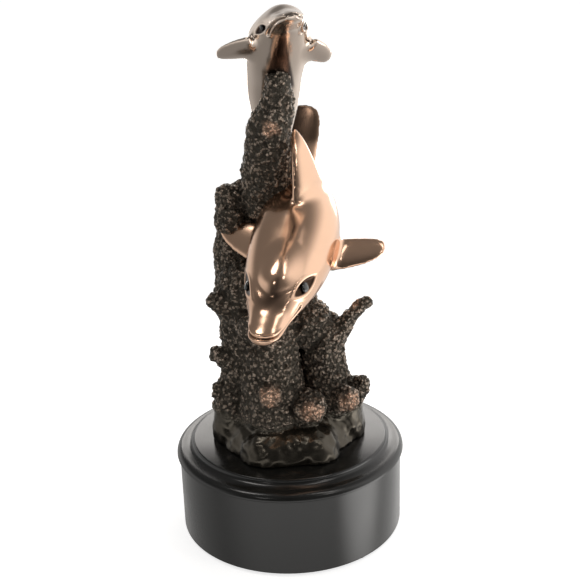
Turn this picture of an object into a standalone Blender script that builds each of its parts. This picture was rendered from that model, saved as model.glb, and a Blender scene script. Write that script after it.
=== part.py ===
"""Bronze-finished trophy: two dolphins and the coral reef that carries them, cast in one,
on a turned black plinth with three small feet.

Metres, +Z up. The origin is on the axis of the plinth, at the surface that the feet stand on.
The front of the trophy, where both dolphins' heads are, looks along -Y.
"""

import math

import bmesh
import bpy
from mathutils import Quaternion, Vector

MM = 0.001

# Driving dimensions in millimetres
LIP_RADIUS = 63.5
DRUM_RADIUS = 62.0
DISC_RADIUS = 54.0
DRUM_HEIGHT = 42.7
PLINTH_HEIGHT = 51.3
FOOT_RADIUS = 4.0
FOOT_HEIGHT = 1.2
FOOT_INSET = 5.5
FIRST_FOOT_AZIMUTH = math.radians(-52.0)
FEET = 3
GAP = 0.3

PLINTH_BOTTOM = FOOT_HEIGHT + GAP
CASTING_BOTTOM = PLINTH_BOTTOM + PLINTH_HEIGHT + GAP

# Coral, as limbs: each one is a row of (x, y, z, radius), in millimetres
CORAL_LIMBS = {
    "mound": [(-3.0, -2.0, 44.0, 37.0), (4.0, 2.0, 44.0, 37.0)],
    "mound_left": [(-30.0, -4.0, 56.0, 12.5), (-29.5, -4.0, 80.0, 11.0)],
    "mound_right": [(29.0, -3.0, 56.0, 13.5), (28.0, -2.0, 76.0, 12.0)],
    "mound_front": [(-12.0, -27.0, 54.0, 15.0), (12.0, -26.0, 54.0, 15.0)],
    "mound_back": [(-14.0, 26.0, 54.0, 15.0), (14.0, 26.0, 56.0, 15.0)],
    "reef_left": [(-19.0, 2.0, 70.0, 20.0), (-17.0, 3.0, 102.0, 18.5), (-19.0, 4.0, 136.0, 18.5)],
    "reef_front": [(-9.0, -14.0, 76.0, 18.0), (-8.0, -12.0, 104.0, 15.0), (-6.0, -6.0, 122.0, 12.0)],
    "reef_right": [(21.0, -2.0, 74.0, 16.0), (20.0, -1.0, 98.0, 12.0), (21.0, -2.0, 114.0, 10.5)],
    "reef_back": [(2.0, 16.0, 70.0, 20.0), (2.0, 18.0, 104.0, 17.0), (0.0, 16.0, 136.0, 14.0)],
    "saddle": [(2.0, 4.0, 120.0, 16.0), (4.0, 9.0, 144.0, 14.0)],
    "hump": [(12.0, -3.0, 116.0, 11.0), (15.0, -4.0, 122.0, 9.5)],
    "pillar": [
        (-20.0, 13.0, 130.0, 17.0),
        (-21.5, 21.0, 154.0, 17.0),
        (-19.0, 26.0, 178.0, 14.5),
    ],
    "pillar_right": [(-4.0, 16.0, 136.0, 15.0), (-4.0, 18.0, 164.0, 13.5), (-5.0, 16.0, 188.0, 13.0)],
    "upper_pillar": [
        (-6.0, 11.0, 186.0, 14.5),
        (-6.0, 6.0, 206.0, 14.0),
        (-4.5, 0.0, 224.0, 11.0),
        (0.0, -6.0, 238.0, 8.0),
        (0.0, -13.0, 251.5, 6.0),
    ],
    "branch": [
        (22.0, -3.0, 106.0, 8.0),
        (28.5, -5.0, 114.5, 5.2),
        (35.0, -6.0, 124.0, 4.2),
        (43.0, -7.5, 131.5, 3.3),
    ],
    "knob_right": [(28.0, -4.0, 76.0, 9.0), (37.0, -6.0, 80.0, 6.5), (40.5, -7.0, 83.5, 5.0)],
    "knob_left_low": [(-30.0, -5.0, 80.0, 8.0), (-37.0, -7.0, 83.0, 5.0)],
    "knob_left_middle": [(-30.0, -4.0, 100.0, 7.0), (-37.0, -6.0, 104.0, 4.2)],
    "knob_left_high": [(-30.0, -4.0, 132.0, 7.5), (-38.0, -7.0, 135.5, 4.2)],
    "knob_step": [(-28.0, 13.0, 173.0, 8.5), (-27.5, 12.0, 186.0, 7.5)],
    "knob_front_left": [(-10.0, -24.0, 86.0, 9.0), (-10.0, -30.0, 89.0, 6.0)],
    "knob_front": [(10.0, -22.0, 78.0, 10.0), (13.0, -29.0, 81.0, 6.5)],
    "knob_front_right": [(26.0, -12.0, 78.0, 9.0), (32.0, -18.0, 81.0, 6.5)],
    "knob_beak": [(-18.0, -14.0, 122.0, 8.0), (-19.0, -20.0, 127.0, 4.5)],
    "knob_back": [(10.0, 30.0, 92.0, 9.0), (13.0, 37.0, 98.0, 5.5)],
    "knob_back_left": [(-22.0, 20.0, 112.0, 9.0), (-28.0, 28.0, 118.0, 5.5)],
    "branch_back": [
        (-16.0, 22.0, 140.0, 8.0),
        (-22.0, 30.0, 148.0, 5.5),
        (-25.0, 34.0, 158.0, 4.4),
    ],
}
CORAL_VOXEL = 2.2
CORAL_TRIANGLES = 3950
BALL_SPACING = 0.35
LUMP_SIZE = 9.0
LUMP_HEIGHT = 3.6
GRAIN_SIZE = 3.4
GRAIN_HEIGHT = 1.8

# Dolphins: the spine's points run from the tip of the beak to the notch of the flukes, in
# millimetres, each with the direction that the back faces there
LOWER_SPINE = [
    ((-12.0, -78.0, 138.5), (-0.10, -0.45, 0.88)),
    ((-4.8, -52.0, 149.5), (-0.16, -0.45, 0.88)),
    ((2.6, -28.0, 162.5), (-0.16, -0.45, 0.88)),
    ((8.6, -6.0, 175.0), (-0.12, -0.38, 0.90)),
    ((10.6, 18.0, 183.5), (-0.06, -0.22, 0.96)),
    ((9.5, 40.0, 185.0), (-0.28, -0.08, 0.95)),
    ((6.5, 56.0, 188.0), (-0.75, 0.05, 0.66)),
    ((5.5, 67.0, 190.8), (-0.95, 0.15, 0.25)),
    ((8.5, 76.0, 192.2), (-0.85, 0.50, 0.10)),
    ((15.5, 82.5, 190.4), (-0.62, 0.77, 0.10)),
]
UPPER_SPINE = [
    ((7.5, -58.0, 283.0), (-0.06, 0.24, 0.97)),
    ((4.0, -34.0, 278.5), (-0.06, 0.30, 0.95)),
    ((0.6, -12.0, 265.5), (-0.04, 0.45, 0.88)),
    ((-1.4, 8.0, 249.5), (-0.02, 0.65, 0.75)),
    ((-2.2, 23.0, 230.5), (0.0, 0.80, 0.60)),
    ((-2.8, 32.0, 210.0), (0.0, 0.93, 0.36)),
    ((-2.8, 37.0, 190.0), (0.0, 0.97, 0.20)),
    ((-2.4, 44.0, 172.0), (0.0, 0.93, 0.36)),
    ((-1.9, 55.0, 157.0), (0.0, 0.80, 0.60)),
]

# How stout a dolphin is, at its head and along its body
LOWER_GIRTH = (1.04, 1.06)
UPPER_GIRTH = (0.84, 0.69)

# How each flipper stands, right side first: its place along the spine, how far it points aft
# and down for each step outwards, how many degrees its leading edge dips, and its length and
# chord as shares of the dolphin's length
LOWER_FLIPPERS = [(1, 0.390, 0.26, 0.05, 16.0, 0.162, 0.100), (-1, 0.420, 0.36, 0.00, 24.0, 0.178, 0.125)]
UPPER_FLIPPERS = [(1, 0.235, 0.55, 0.05, 0.0, 0.098, 0.108), (-1, 0.222, 0.45, -0.14, 0.0, 0.120, 0.108)]

# Fins as shares of the dolphin's length: (height, chord, thickness) of each back fin, with how
# far its trailing edge turns to the right, and the (chord, thickness) of a fluke. The place of a
# fluke comes with its pitch and roll in degrees, how far it starts ahead and how far it sweeps.
LOWER_DORSAL = (0.165, 0.165, 0.050, 0.45)
UPPER_DORSAL = (0.150, 0.135, 0.040, 0.00)
DORSAL_PLACE = 0.50
DORSAL_LEAN = 0.62
FLIPPER_THICKNESS = 0.028
FLIPPER_SWEEP = 0.030
FLUKE_SIZES = (0.138, 0.026)
FLUKE_SPAN = 0.192
FLUKE_SUNK = 0.012
LOWER_FLUKE = (0.980, -30.0, -14.0, 0.020, 0.016)
UPPER_FLUKE = (0.945, 0.0, 0.0, 0.012, 0.024)

# How long a fin stays wide on the way to its tip
DORSAL_FULLNESS = 1.0
FLIPPER_FULLNESS = 1.5
FLUKE_FULLNESS = 3.4
FIN_STEPS = 6

# A fin's chord and thickness at its tip, as shares of those at its root, and how late it bends
TIP_CHORD = 0.10
TIP_THICKNESS = 0.25
FIN_BEND = 1.6

# Body of a dolphin: (place along the spine, half width, height above, depth below), all as
# shares of its length
BODY_STATIONS = [
    (0.000, 0.010, 0.006, 0.006),
    (0.008, 0.026, 0.011, 0.012),
    (0.030, 0.040, 0.018, 0.019),
    (0.065, 0.048, 0.025, 0.025),
    (0.100, 0.055, 0.034, 0.031),
    (0.130, 0.065, 0.053, 0.038),
    (0.170, 0.081, 0.072, 0.052),
    (0.230, 0.099, 0.086, 0.072),
    (0.300, 0.112, 0.095, 0.089),
    (0.380, 0.117, 0.100, 0.098),
    (0.470, 0.112, 0.096, 0.096),
    (0.570, 0.093, 0.085, 0.083),
    (0.670, 0.066, 0.070, 0.064),
    (0.770, 0.042, 0.055, 0.046),
    (0.860, 0.025, 0.042, 0.033),
    (0.930, 0.017, 0.026, 0.020),
    (0.965, 0.012, 0.010, 0.010),
]
NAPE = 0.20
CHEST = 0.42

# A body's section is a little fuller than an ellipse, and its rings crowd towards the beak
SECTION_FULLNESS = 2.15
RING_CROWDING = 1.35
BODY_SIDES = 22
BODY_RINGS = 30
FIN_SIDES = 10
SPINE_SAMPLES = 240


def clear_scene():
    for old in list(bpy.data.objects):
        bpy.data.objects.remove(old, do_unlink=True)


def new_collection(name):
    collection = bpy.data.collections.new(name)
    bpy.context.scene.collection.children.link(collection)
    return collection


def finish(name, colour, metallic, roughness):
    material = bpy.data.materials.new(name)
    material.use_nodes = True
    shader = material.node_tree.nodes["Principled BSDF"]
    shader.inputs["Base Color"].default_value = (*colour, 1.0)
    shader.inputs["Metallic"].default_value = metallic
    shader.inputs["Roughness"].default_value = roughness
    return material


def place(mesh, name, collection, material=None):
    thing = bpy.data.objects.new(name, mesh)
    collection.objects.link(thing)
    if material is not None:
        mesh.materials.append(material)
    return thing


def mesh_of(shape, name):
    """The bmesh as a mesh of that name, with its faces pointing outwards."""
    bmesh.ops.recalc_face_normals(shape, faces=shape.faces)
    mesh = bpy.data.meshes.new(name)
    shape.to_mesh(mesh)
    shape.free()
    return mesh


def evaluated_mesh(thing):
    graph = bpy.context.evaluated_depsgraph_get()
    return bpy.data.meshes.new_from_object(thing.evaluated_get(graph), depsgraph=graph)


# Turned plinth and its feet


def arc(centre, radii, start, end, steps):
    """Points of an arc of an ellipse, with its angles in degrees."""
    points = []
    for step in range(steps + 1):
        angle = math.radians(start + (end - start) * step / steps)
        points.append((centre[0] + radii[0] * math.cos(angle), centre[1] + radii[1] * math.sin(angle)))
    return points


def plinth_profile():
    """Radius and height from the middle of the top, down the outer side, to the middle below."""
    round_over = 1.0
    cove_reach = 5.5
    cove_depth = 2.7
    lip_drop = 3.7
    lip_under = 0.8
    foot_chamfer = 0.8
    cove_top = PLINTH_HEIGHT - round_over
    cove_end = DISC_RADIUS + cove_reach
    lip_level = cove_top - cove_depth - lip_drop
    profile = [(0.0, PLINTH_HEIGHT)]
    profile += arc((DISC_RADIUS - round_over, cove_top), (round_over, round_over), 90, 0, 3)
    profile += arc((cove_end, cove_top), (cove_reach, cove_depth), 180, 270, 5)[1:]
    profile += arc((cove_end, lip_level), (LIP_RADIUS - cove_end, lip_drop), 90, 0, 5)[1:]
    profile.append((LIP_RADIUS - lip_under, lip_level - lip_under))
    profile.append((DRUM_RADIUS, DRUM_HEIGHT))
    profile.append((DRUM_RADIUS, foot_chamfer))
    profile.append((DRUM_RADIUS - foot_chamfer, 0.0))
    profile.append((0.0, 0.0))
    return profile


def make_plinth(collection, material):
    shape = bmesh.new()
    points = [shape.verts.new((radius * MM, 0.0, height * MM)) for radius, height in plinth_profile()]
    for upper, lower in zip(points, points[1:]):
        shape.edges.new((upper, lower))
    mesh = bpy.data.meshes.new("plinth")
    shape.to_mesh(mesh)
    shape.free()
    plinth = place(mesh, "plinth", collection, material)
    plinth.location.z = PLINTH_BOTTOM * MM
    turn = plinth.modifiers.new("turn", "SCREW")
    turn.steps = 48
    turn.render_steps = 48
    turn.use_merge_vertices = True
    turn.merge_threshold = 0.00005
    turn.use_smooth_shade = True
    return plinth


def make_feet(collection, material):
    shape = bmesh.new()
    bmesh.ops.create_cone(
        shape,
        cap_ends=True,
        segments=20,
        radius1=(FOOT_RADIUS - 0.3) * MM,
        radius2=FOOT_RADIUS * MM,
        depth=FOOT_HEIGHT * MM,
    )
    mesh = mesh_of(shape, "foot")
    mesh.materials.append(material)
    circle = (DRUM_RADIUS - FOOT_INSET) * MM
    for number in range(FEET):
        azimuth = FIRST_FOOT_AZIMUTH + math.tau * number / FEET
        foot = place(mesh, f"foot_{number + 1}", collection)
        foot.location = (circle * math.cos(azimuth), circle * math.sin(azimuth), FOOT_HEIGHT * MM / 2)


# Dolphins


def between(a, b, share):
    return a + (b - a) * share


def catmull(p0, p1, p2, p3, t):
    """A point of the smooth curve that passes through p1 and p2."""
    return 0.5 * (
        2 * p1
        + (p2 - p0) * t
        + (2 * p0 - 5 * p1 + 4 * p2 - p3) * t * t
        + (3 * p1 - p0 - 3 * p2 + p3) * t * t * t
    )


class Spine:
    """A smooth curve from beak to tail that knows, at each share of its length, its place and
    three directions: towards the tail, to the back and to the side."""

    def __init__(self, stations):
        places = [Vector(place_of) * MM for place_of, _ in stations]
        backs = [Vector(back).normalized() for _, back in stations]
        self.places = self.sampled(places)
        self.backs = self.sampled(backs)
        self.distances = [0.0]
        for a, b in zip(self.places, self.places[1:]):
            self.distances.append(self.distances[-1] + (b - a).length)
        self.length = self.distances[-1]

    @staticmethod
    def sampled(points):
        """The smooth curve through the points, at even steps of its parameter."""
        first = points[0] * 2 - points[1]
        last = points[-1] * 2 - points[-2]
        row = [first, *points, last]
        samples = []
        for number in range(SPINE_SAMPLES + 1):
            along = number / SPINE_SAMPLES * (len(points) - 1)
            index = min(int(along), len(points) - 2)
            samples.append(catmull(*row[index : index + 4], along - index))
        return samples

    def at(self, share):
        target = share * self.length
        index = 0
        while index < SPINE_SAMPLES - 1 and self.distances[index + 1] < target:
            index += 1
        span = self.distances[index + 1] - self.distances[index]
        part = (target - self.distances[index]) / span
        point = between(self.places[index], self.places[index + 1], part)
        before = self.places[max(index - 4, 0)]
        after = self.places[min(index + 5, SPINE_SAMPLES)]
        tailward = (after - before).normalized()
        back = between(self.backs[index], self.backs[index + 1], part)
        back = (back - tailward * back.dot(tailward)).normalized()
        side = tailward.cross(back)
        return point, tailward, back, side


def stoutness(share, girth):
    """The girth at that share of the length, which turns from the head's to the body's."""
    part = min(max((share - NAPE) / (CHEST - NAPE), 0.0), 1.0)
    return between(girth[0], girth[1], part * part * (3 - 2 * part))


def smooth_station(share, girth):
    """Half width, height and depth of the body at that share of its length."""
    table = BODY_STATIONS
    index = 0
    while index < len(table) - 2 and table[index + 1][0] <= share:
        index += 1
    rows = [table[min(max(index + step, 0), len(table) - 1)] for step in (-1, 0, 1, 2)]
    part = (share - rows[1][0]) / (rows[2][0] - rows[1][0])
    part = min(max(part, 0.0), 1.0)
    sizes = []
    for column in (1, 2, 3):
        span = rows[2][0] - rows[1][0]
        slopes = []
        for a, b in ((rows[0], rows[2]), (rows[1], rows[3])):
            slopes.append((b[column] - a[column]) / max(b[0] - a[0], 1e-6) * span)
        start, end = rows[1][column], rows[2][column]
        square, cube = part * part, part * part * part
        value = start * (2 * cube - 3 * square + 1) + slopes[0] * (cube - 2 * square + part)
        value += end * (3 * square - 2 * cube) + slopes[1] * (cube - square)
        sizes.append(value * stoutness(share, girth))
    return sizes


def loft(rings, name):
    """A closed skin over rings of points that all have the same number of points."""
    shape = bmesh.new()
    rows = [[shape.verts.new(point) for point in ring] for ring in rings]
    count = len(rows[0])
    for lower, upper in zip(rows, rows[1:]):
        for number in range(count):
            after = (number + 1) % count
            shape.faces.new((lower[number], lower[after], upper[after], upper[number]))
    for row in (rows[0], rows[-1]):
        middle = shape.verts.new(sum((vert.co for vert in row), Vector()) / count)
        for number in range(count):
            shape.faces.new((row[number], row[(number + 1) % count], middle))
    return mesh_of(shape, name)


def rounded(angle, fullness):
    """Cosine and sine of a superellipse: 2 is an ellipse, more is fuller."""
    cosine, sine = math.cos(angle), math.sin(angle)
    power = 2.0 / fullness
    return math.copysign(abs(cosine) ** power, cosine), math.copysign(abs(sine) ** power, sine)


def body_rings(spine, girth):
    first = BODY_STATIONS[0][0]
    last = BODY_STATIONS[-1][0]
    rings = []
    for number in range(BODY_RINGS + 1):
        even = number / BODY_RINGS
        share = first + (last - first) * even ** RING_CROWDING
        width, above, below = (size * spine.length for size in smooth_station(share, girth))
        point, _, back, side = spine.at(share)
        ring = []
        for corner in range(BODY_SIDES):
            across, up = rounded(math.tau * corner / BODY_SIDES, SECTION_FULLNESS)
            height = above if up > 0 else below
            ring.append(point + side * (width * across) + back * (height * up))
        rings.append(ring)
    return rings


def fin_rings(root, out, aft, length, chord, thickness, drift, fullness):
    """Rings of a fin: out is the way it stands, aft the way its trailing edge lies, and drift
    is how far its tip ends from straight out."""
    flat = out.cross(aft).normalized()
    rings = []
    for step in range(FIN_STEPS + 1):
        even = step / FIN_STEPS
        reach = math.sin(even * math.pi / 2)
        width = chord * between(1.0, TIP_CHORD, even ** fullness)
        thick = thickness * between(1.0, TIP_THICKNESS, even)
        middle = root + out * (length * reach) + drift * even ** FIN_BEND
        ring = []
        for corner in range(FIN_SIDES):
            angle = math.tau * corner / FIN_SIDES
            ring.append(middle + aft * (width / 2 * math.cos(angle)) + flat * (thick / 2 * math.sin(angle)))
        rings.append(ring)
    return rings


def dorsal_rings(spine, girth, height, chord, thickness, turn):
    """The back fin, which turns about the foot of its leading edge."""
    point, tailward, back, side = spine.at(DORSAL_PLACE)
    size = spine.length
    height, chord, thickness = height * size, chord * size, thickness * size
    sunk = 0.022 * size
    above = smooth_station(DORSAL_PLACE, girth)[1] * size
    aft = (tailward + side * turn).normalized()
    root = point + back * (above - sunk) + (aft - tailward) * (chord / 2)
    drift = tailward * (DORSAL_LEAN * height) - (aft - tailward) * (chord / 2)
    return fin_rings(root, back, aft, height, chord, thickness, drift, DORSAL_FULLNESS)


def pectoral_rings(spine, girth, hand, share, out_aft, out_down, dip, length, chord):
    """The flipper of one side: hand is 1 or -1, and it stands out, aft and down."""
    root_out, root_down = 0.78, 0.45
    point, tailward, back, side = spine.at(share)
    size = spine.length
    width, _, below = smooth_station(share, girth)
    root = point + side * (hand * width * root_out * size) - back * (below * root_down * size)
    out = (side * hand + tailward * out_aft - back * out_down).normalized()
    aft = (tailward - out * tailward.dot(out)).normalized()
    aft.rotate(Quaternion(out, math.radians(dip * hand)))
    drift = aft * (FLIPPER_SWEEP * size)
    thickness = FLIPPER_THICKNESS * size
    return fin_rings(root, out, aft, length * size, chord * size, thickness, drift, FLIPPER_FULLNESS)


def fluke_rings(spine, hand, place, pitch, roll, ahead, sweep):
    """One lobe of the tail, which starts a little inside the tail stock."""
    point, tailward, _, side = spine.at(place)
    size = spine.length
    tailward.rotate(Quaternion(side, math.radians(pitch)))
    side.rotate(Quaternion(tailward, math.radians(roll)))
    out = side * hand
    root = point - out * (FLUKE_SUNK * size) - tailward * (ahead * size)
    chord, thickness = (measure * size for measure in FLUKE_SIZES)
    drift = tailward * (sweep * size)
    return fin_rings(root, out, tailward, FLUKE_SPAN * size, chord, thickness, drift, FLUKE_FULLNESS)


def fuse(target, others):
    """Joins the others to the target by union and clears them away."""
    for other in others:
        join = target.modifiers.new(f"join_{other.name}", "BOOLEAN")
        join.operation = "UNION"
        join.solver = "EXACT"
        join.object = other
    bpy.context.view_layer.update()
    mesh = evaluated_mesh(target)
    target.modifiers.clear()
    target.data = mesh
    for other in others:
        bpy.data.objects.remove(other, do_unlink=True)


def make_dolphin(name, stations, girth, flippers, dorsal, fluke, collection):
    spine = Spine(stations)
    body = place(loft(body_rings(spine, girth), name), name, collection)
    fins = {"dorsal": dorsal_rings(spine, girth, *dorsal)}
    for hand, *pose in flippers:
        fins[f"flipper_{hand}"] = pectoral_rings(spine, girth, hand, *pose)
        fins[f"fluke_{hand}"] = fluke_rings(spine, hand, *fluke)
    pieces = []
    for fin, rings in fins.items():
        pieces.append(place(loft(rings, f"{name}_{fin}"), f"{name}_{fin}", collection))
    fuse(body, pieces)
    return body


# Coral reef


def balls_along(limb):
    """Balls set close together along a limb, as (centre, radius) in millimetres."""
    for (*start, start_radius), (*end, end_radius) in zip(limb, limb[1:]):
        start, end = Vector(start), Vector(end)
        step = BALL_SPACING * min(start_radius, end_radius)
        count = max(1, math.ceil((end - start).length / step))
        for number in range(count + 1):
            share = number / count
            yield between(start, end, share), between(start_radius, end_radius, share)


def noise_texture(name, kind, size):
    texture = bpy.data.textures.new(name, kind)
    texture.noise_scale = size * MM
    return texture


def add_displace(thing, texture, height):
    displace = thing.modifiers.new(texture.name, "DISPLACE")
    displace.texture = texture
    displace.texture_coords = "LOCAL"
    displace.strength = height * MM
    displace.mid_level = 0.5


def flat_bottom(mesh, level):
    """Cuts the mesh off flat at that level and closes it there."""
    shape = bmesh.new()
    shape.from_mesh(mesh)
    everything = [*shape.verts, *shape.edges, *shape.faces]
    cut = bmesh.ops.bisect_plane(
        shape, geom=everything, plane_co=(0, 0, level), plane_no=(0, 0, 1), clear_inner=True
    )
    rim = [item for item in cut["geom_cut"] if isinstance(item, bmesh.types.BMEdge)]
    bmesh.ops.holes_fill(shape, edges=rim, sides=0)
    bmesh.ops.triangulate(shape, faces=shape.faces)
    bmesh.ops.recalc_face_normals(shape, faces=shape.faces)
    shape.to_mesh(mesh)
    shape.free()


def make_coral(name, collection):
    shape = bmesh.new()
    for limb in CORAL_LIMBS.values():
        for centre, radius in balls_along(limb):
            ball = bmesh.ops.create_icosphere(shape, subdivisions=3, radius=radius * MM)
            bmesh.ops.translate(shape, verts=ball["verts"], vec=centre * MM)
    coral = place(mesh_of(shape, name), name, collection)
    skin = coral.modifiers.new("skin", "REMESH")
    skin.mode = "VOXEL"
    skin.voxel_size = CORAL_VOXEL * MM
    add_displace(coral, noise_texture("lumps", "CLOUDS", LUMP_SIZE), LUMP_HEIGHT)
    add_displace(coral, noise_texture("grains", "VORONOI", GRAIN_SIZE), GRAIN_HEIGHT)
    coral.data = evaluated_mesh(coral)
    coral.modifiers.clear()
    thin = coral.modifiers.new("thin", "DECIMATE")
    thin.use_collapse_triangulate = True
    thin.ratio = CORAL_TRIANGLES / (2 * len(coral.data.polygons))
    mesh = evaluated_mesh(coral)
    coral.modifiers.clear()
    flat_bottom(mesh, CASTING_BOTTOM * MM)
    coral.data = mesh
    return coral


def main():
    clear_scene()
    trophy = new_collection("bronze_dolphin_trophy")
    black = finish("black_lacquer", (0.018, 0.018, 0.020), 0.0, 0.42)
    bronze = finish("polished_bronze", (0.30, 0.145, 0.085), 1.0, 0.30)
    rubber = finish("black_rubber", (0.02, 0.02, 0.02), 0.0, 0.85)
    make_plinth(trophy, black)
    make_feet(trophy, rubber)
    casting = make_coral("dolphin_casting", trophy)
    upper = make_dolphin(
        "upper_dolphin", UPPER_SPINE, UPPER_GIRTH, UPPER_FLIPPERS, UPPER_DORSAL, UPPER_FLUKE, trophy
    )
    lower = make_dolphin(
        "lower_dolphin", LOWER_SPINE, LOWER_GIRTH, LOWER_FLIPPERS, LOWER_DORSAL, LOWER_FLUKE, trophy
    )
    fuse(casting, [upper, lower])
    casting.data.name = "dolphin_casting"
    casting.data.materials.clear()
    casting.data.materials.append(bronze)
    print("casting triangles", sum(len(face.vertices) - 2 for face in casting.data.polygons))


main()
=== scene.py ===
# %% [markdown]
# # Bronze dolphin trophy
#
# A cast trophy shows two dolphins and the coral reef that carries them, on a turned black plinth.
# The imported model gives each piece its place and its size. This lesson makes the fine surfaces
# over it: the smooth skins of the dolphins with their eyes and mouths, the granular coral, the
# turned plinth, and the metals and lacquer that they wear.

import math

import bmesh
import bpy
from mathutils import Matrix, Quaternion, Vector, kdtree
from mathutils.bvhtree import BVHTree
from mathutils.noise import noise as wander


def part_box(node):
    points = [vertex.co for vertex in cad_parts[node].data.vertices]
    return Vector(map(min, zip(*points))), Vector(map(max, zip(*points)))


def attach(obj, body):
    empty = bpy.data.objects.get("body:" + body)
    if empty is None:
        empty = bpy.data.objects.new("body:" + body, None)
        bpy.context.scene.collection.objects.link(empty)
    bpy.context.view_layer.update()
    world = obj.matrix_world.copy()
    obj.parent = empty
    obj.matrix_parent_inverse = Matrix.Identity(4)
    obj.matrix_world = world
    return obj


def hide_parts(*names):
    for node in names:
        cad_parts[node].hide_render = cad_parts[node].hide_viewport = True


MM = 0.001

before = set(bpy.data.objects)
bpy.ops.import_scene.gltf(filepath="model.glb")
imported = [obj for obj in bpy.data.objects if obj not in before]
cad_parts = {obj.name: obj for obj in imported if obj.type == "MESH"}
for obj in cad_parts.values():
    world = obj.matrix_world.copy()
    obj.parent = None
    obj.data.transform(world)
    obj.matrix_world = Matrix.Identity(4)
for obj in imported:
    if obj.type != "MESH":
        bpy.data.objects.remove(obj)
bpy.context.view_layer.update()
print("nodes", sorted(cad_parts))

# %% [markdown]
# ## Camera
#
# The photograph was taken from the front, a little above the trophy. The plinth's ellipses give
# the camera's height and distance, and the beaks and fins give its turn. A camera looks along its
# own -Z, so its three axes are written as the columns of a matrix. The photograph is contrasty
# and its whites are blown, so the picture is developed with the plain Standard curve.

# %% Camera
CAMERA_PLACE = Vector((0.0, -505.3, 315.6)) * MM
CAMERA_RIGHT = Vector((0.99935, -0.01703, -0.03183))
CAMERA_UP = Vector((0.03568, 0.33262, 0.94239))
CAMERA_BACK = Vector((-0.00546, -0.94291, 0.33301))
CAMERA_LENS = 62.07

camera_data = bpy.data.cameras.new("camera")
camera_data.lens = CAMERA_LENS
camera_data.sensor_width = 36.0
camera_data.clip_start = 0.01
camera = bpy.data.objects.new("camera", camera_data)
bpy.context.scene.collection.objects.link(camera)
turn = Matrix((CAMERA_RIGHT, CAMERA_UP, CAMERA_BACK)).transposed()
camera.matrix_world = Matrix.Translation(CAMERA_PLACE) @ turn.to_4x4()
bpy.context.scene.camera = camera
bpy.context.scene.view_settings.view_transform = "Standard"
print("camera looks along", [round(value, 3) for value in -CAMERA_BACK])

# %% [markdown]
# ## Room and light
#
# Polished metal shows its surroundings more than its own colour, so the room is part of the
# finish. The right side of the room is bright, the left side is bright only low down, and the
# ceiling and the side behind the camera are dark. The dark ceiling gives each back its dark
# middle line. The room is written as smooth steps over the direction that is looked in.

# %% Node helpers
def add_node(tree, kind, **settings):
    """A node of that kind; a setting is a property of the node or the value of a socket."""
    node = tree.nodes.new(kind)
    for name, value in settings.items():
        if name in node.bl_rna.properties:
            setattr(node, name, value)
        else:
            node.inputs[name.replace("_", " ")].default_value = value
    return node


def link(tree, *pairs):
    """Links each output to the socket that it is paired with."""
    for output, socket in pairs:
        tree.links.new(output, socket)


def maths(tree, operation, *values):
    """A Math node over numbers or sockets."""
    node = add_node(tree, "ShaderNodeMath", operation=operation)
    for socket, value in zip(node.inputs, values):
        if isinstance(value, (int, float)):
            socket.default_value = value
        else:
            tree.links.new(value, socket)
    return node.outputs["Value"]


def product(tree, first, *others):
    """The product of numbers or sockets."""
    for other in others:
        first = maths(tree, "MULTIPLY", first, other)
    return first


def smooth_step(tree, value, start, end):
    """Rises smoothly from 0 where the value is start to 1 where it is end."""
    node = add_node(tree, "ShaderNodeMapRange", interpolation_type="SMOOTHSTEP")
    node.inputs["From Min"].default_value = start
    node.inputs["From Max"].default_value = end
    tree.links.new(value, node.inputs["Value"])
    return node.outputs["Result"]


print("node helpers are ready")

# %% [markdown]
# Each wall is one level of light, and the ground is another. A mirror-bright back shows the
# ceiling, a flank shows a wall and a belly shows the ground, so a level is read off the part of
# the trophy that mirrors it. Each step runs between two values of one part of the direction: X is
# 1 straight to the right, Y is 1 straight to the back and Z is 1 straight up.

# %% Levels of the room
RIGHT_WALL = 0.97
FRONT_SHADE = 0.88
LEFT_WALL = 0.52
CEILING = 0.17
CEILING_FRONT_SHADE = 0.7
GROUND = 0.45
BRIGHT_GROUND = 0.60
BRIGHT_GROUND_RIGHT = 0.8
NADIR_SHADE = 0.45
GLARE = 2.4
GLARE_DIRECTION = (0.92, -0.23, -0.33)
GLARE_STEP = (0.86, 1.0)
ROOM_WHITE = (1.0, 0.985, 0.965, 1.0)
ROOM_STEPS = {
    "right": ("X", -0.15, 0.55),
    "front": ("Y", -0.10, -0.75),
    "front_ceiling": ("Y", -0.35, -0.85),
    "under_ceiling": ("Z", 0.97, 0.50),
    "low": ("Z", 0.45, 0.10),
    "ground": ("Z", -0.06, -0.25),
    "nadir": ("Z", -0.40, -0.85),
}
print("steps of light", list(ROOM_STEPS))

# %% [markdown]
# The world's nodes give the light that comes from each direction. The levels are added up with
# Math nodes: the right wall, the low part of the left wall and a faint ceiling above, and below
# them the ground, with one patch of glare at the right.

# %% Room
room = bpy.data.worlds.new("studio_room")
bpy.context.scene.world = room
room.use_nodes = True
tree = room.node_tree
direction = add_node(tree, "ShaderNodeTexCoord").outputs["Generated"]
parts = add_node(tree, "ShaderNodeSeparateXYZ")
tree.links.new(direction, parts.inputs["Vector"])
steps = {
    name: smooth_step(tree, parts.outputs[axis], start, end)
    for name, (axis, start, end) in ROOM_STEPS.items()
}

left = maths(tree, "SUBTRACT", 1.0, steps["right"])
behind = maths(tree, "SUBTRACT", 1.0, steps["front"])
right_level = maths(tree, "MULTIPLY_ADD", steps["front"], -FRONT_SHADE, RIGHT_WALL)
right_level = product(tree, steps["right"], steps["under_ceiling"], right_level)
left_level = product(tree, left, steps["low"], behind)
walls = maths(tree, "MULTIPLY_ADD", left_level, LEFT_WALL, right_level)
front_loss = -CEILING_FRONT_SHADE * CEILING
ceiling = maths(tree, "MULTIPLY_ADD", steps["front_ceiling"], front_loss, CEILING)
walls = maths(tree, "ADD", walls, ceiling)

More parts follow.
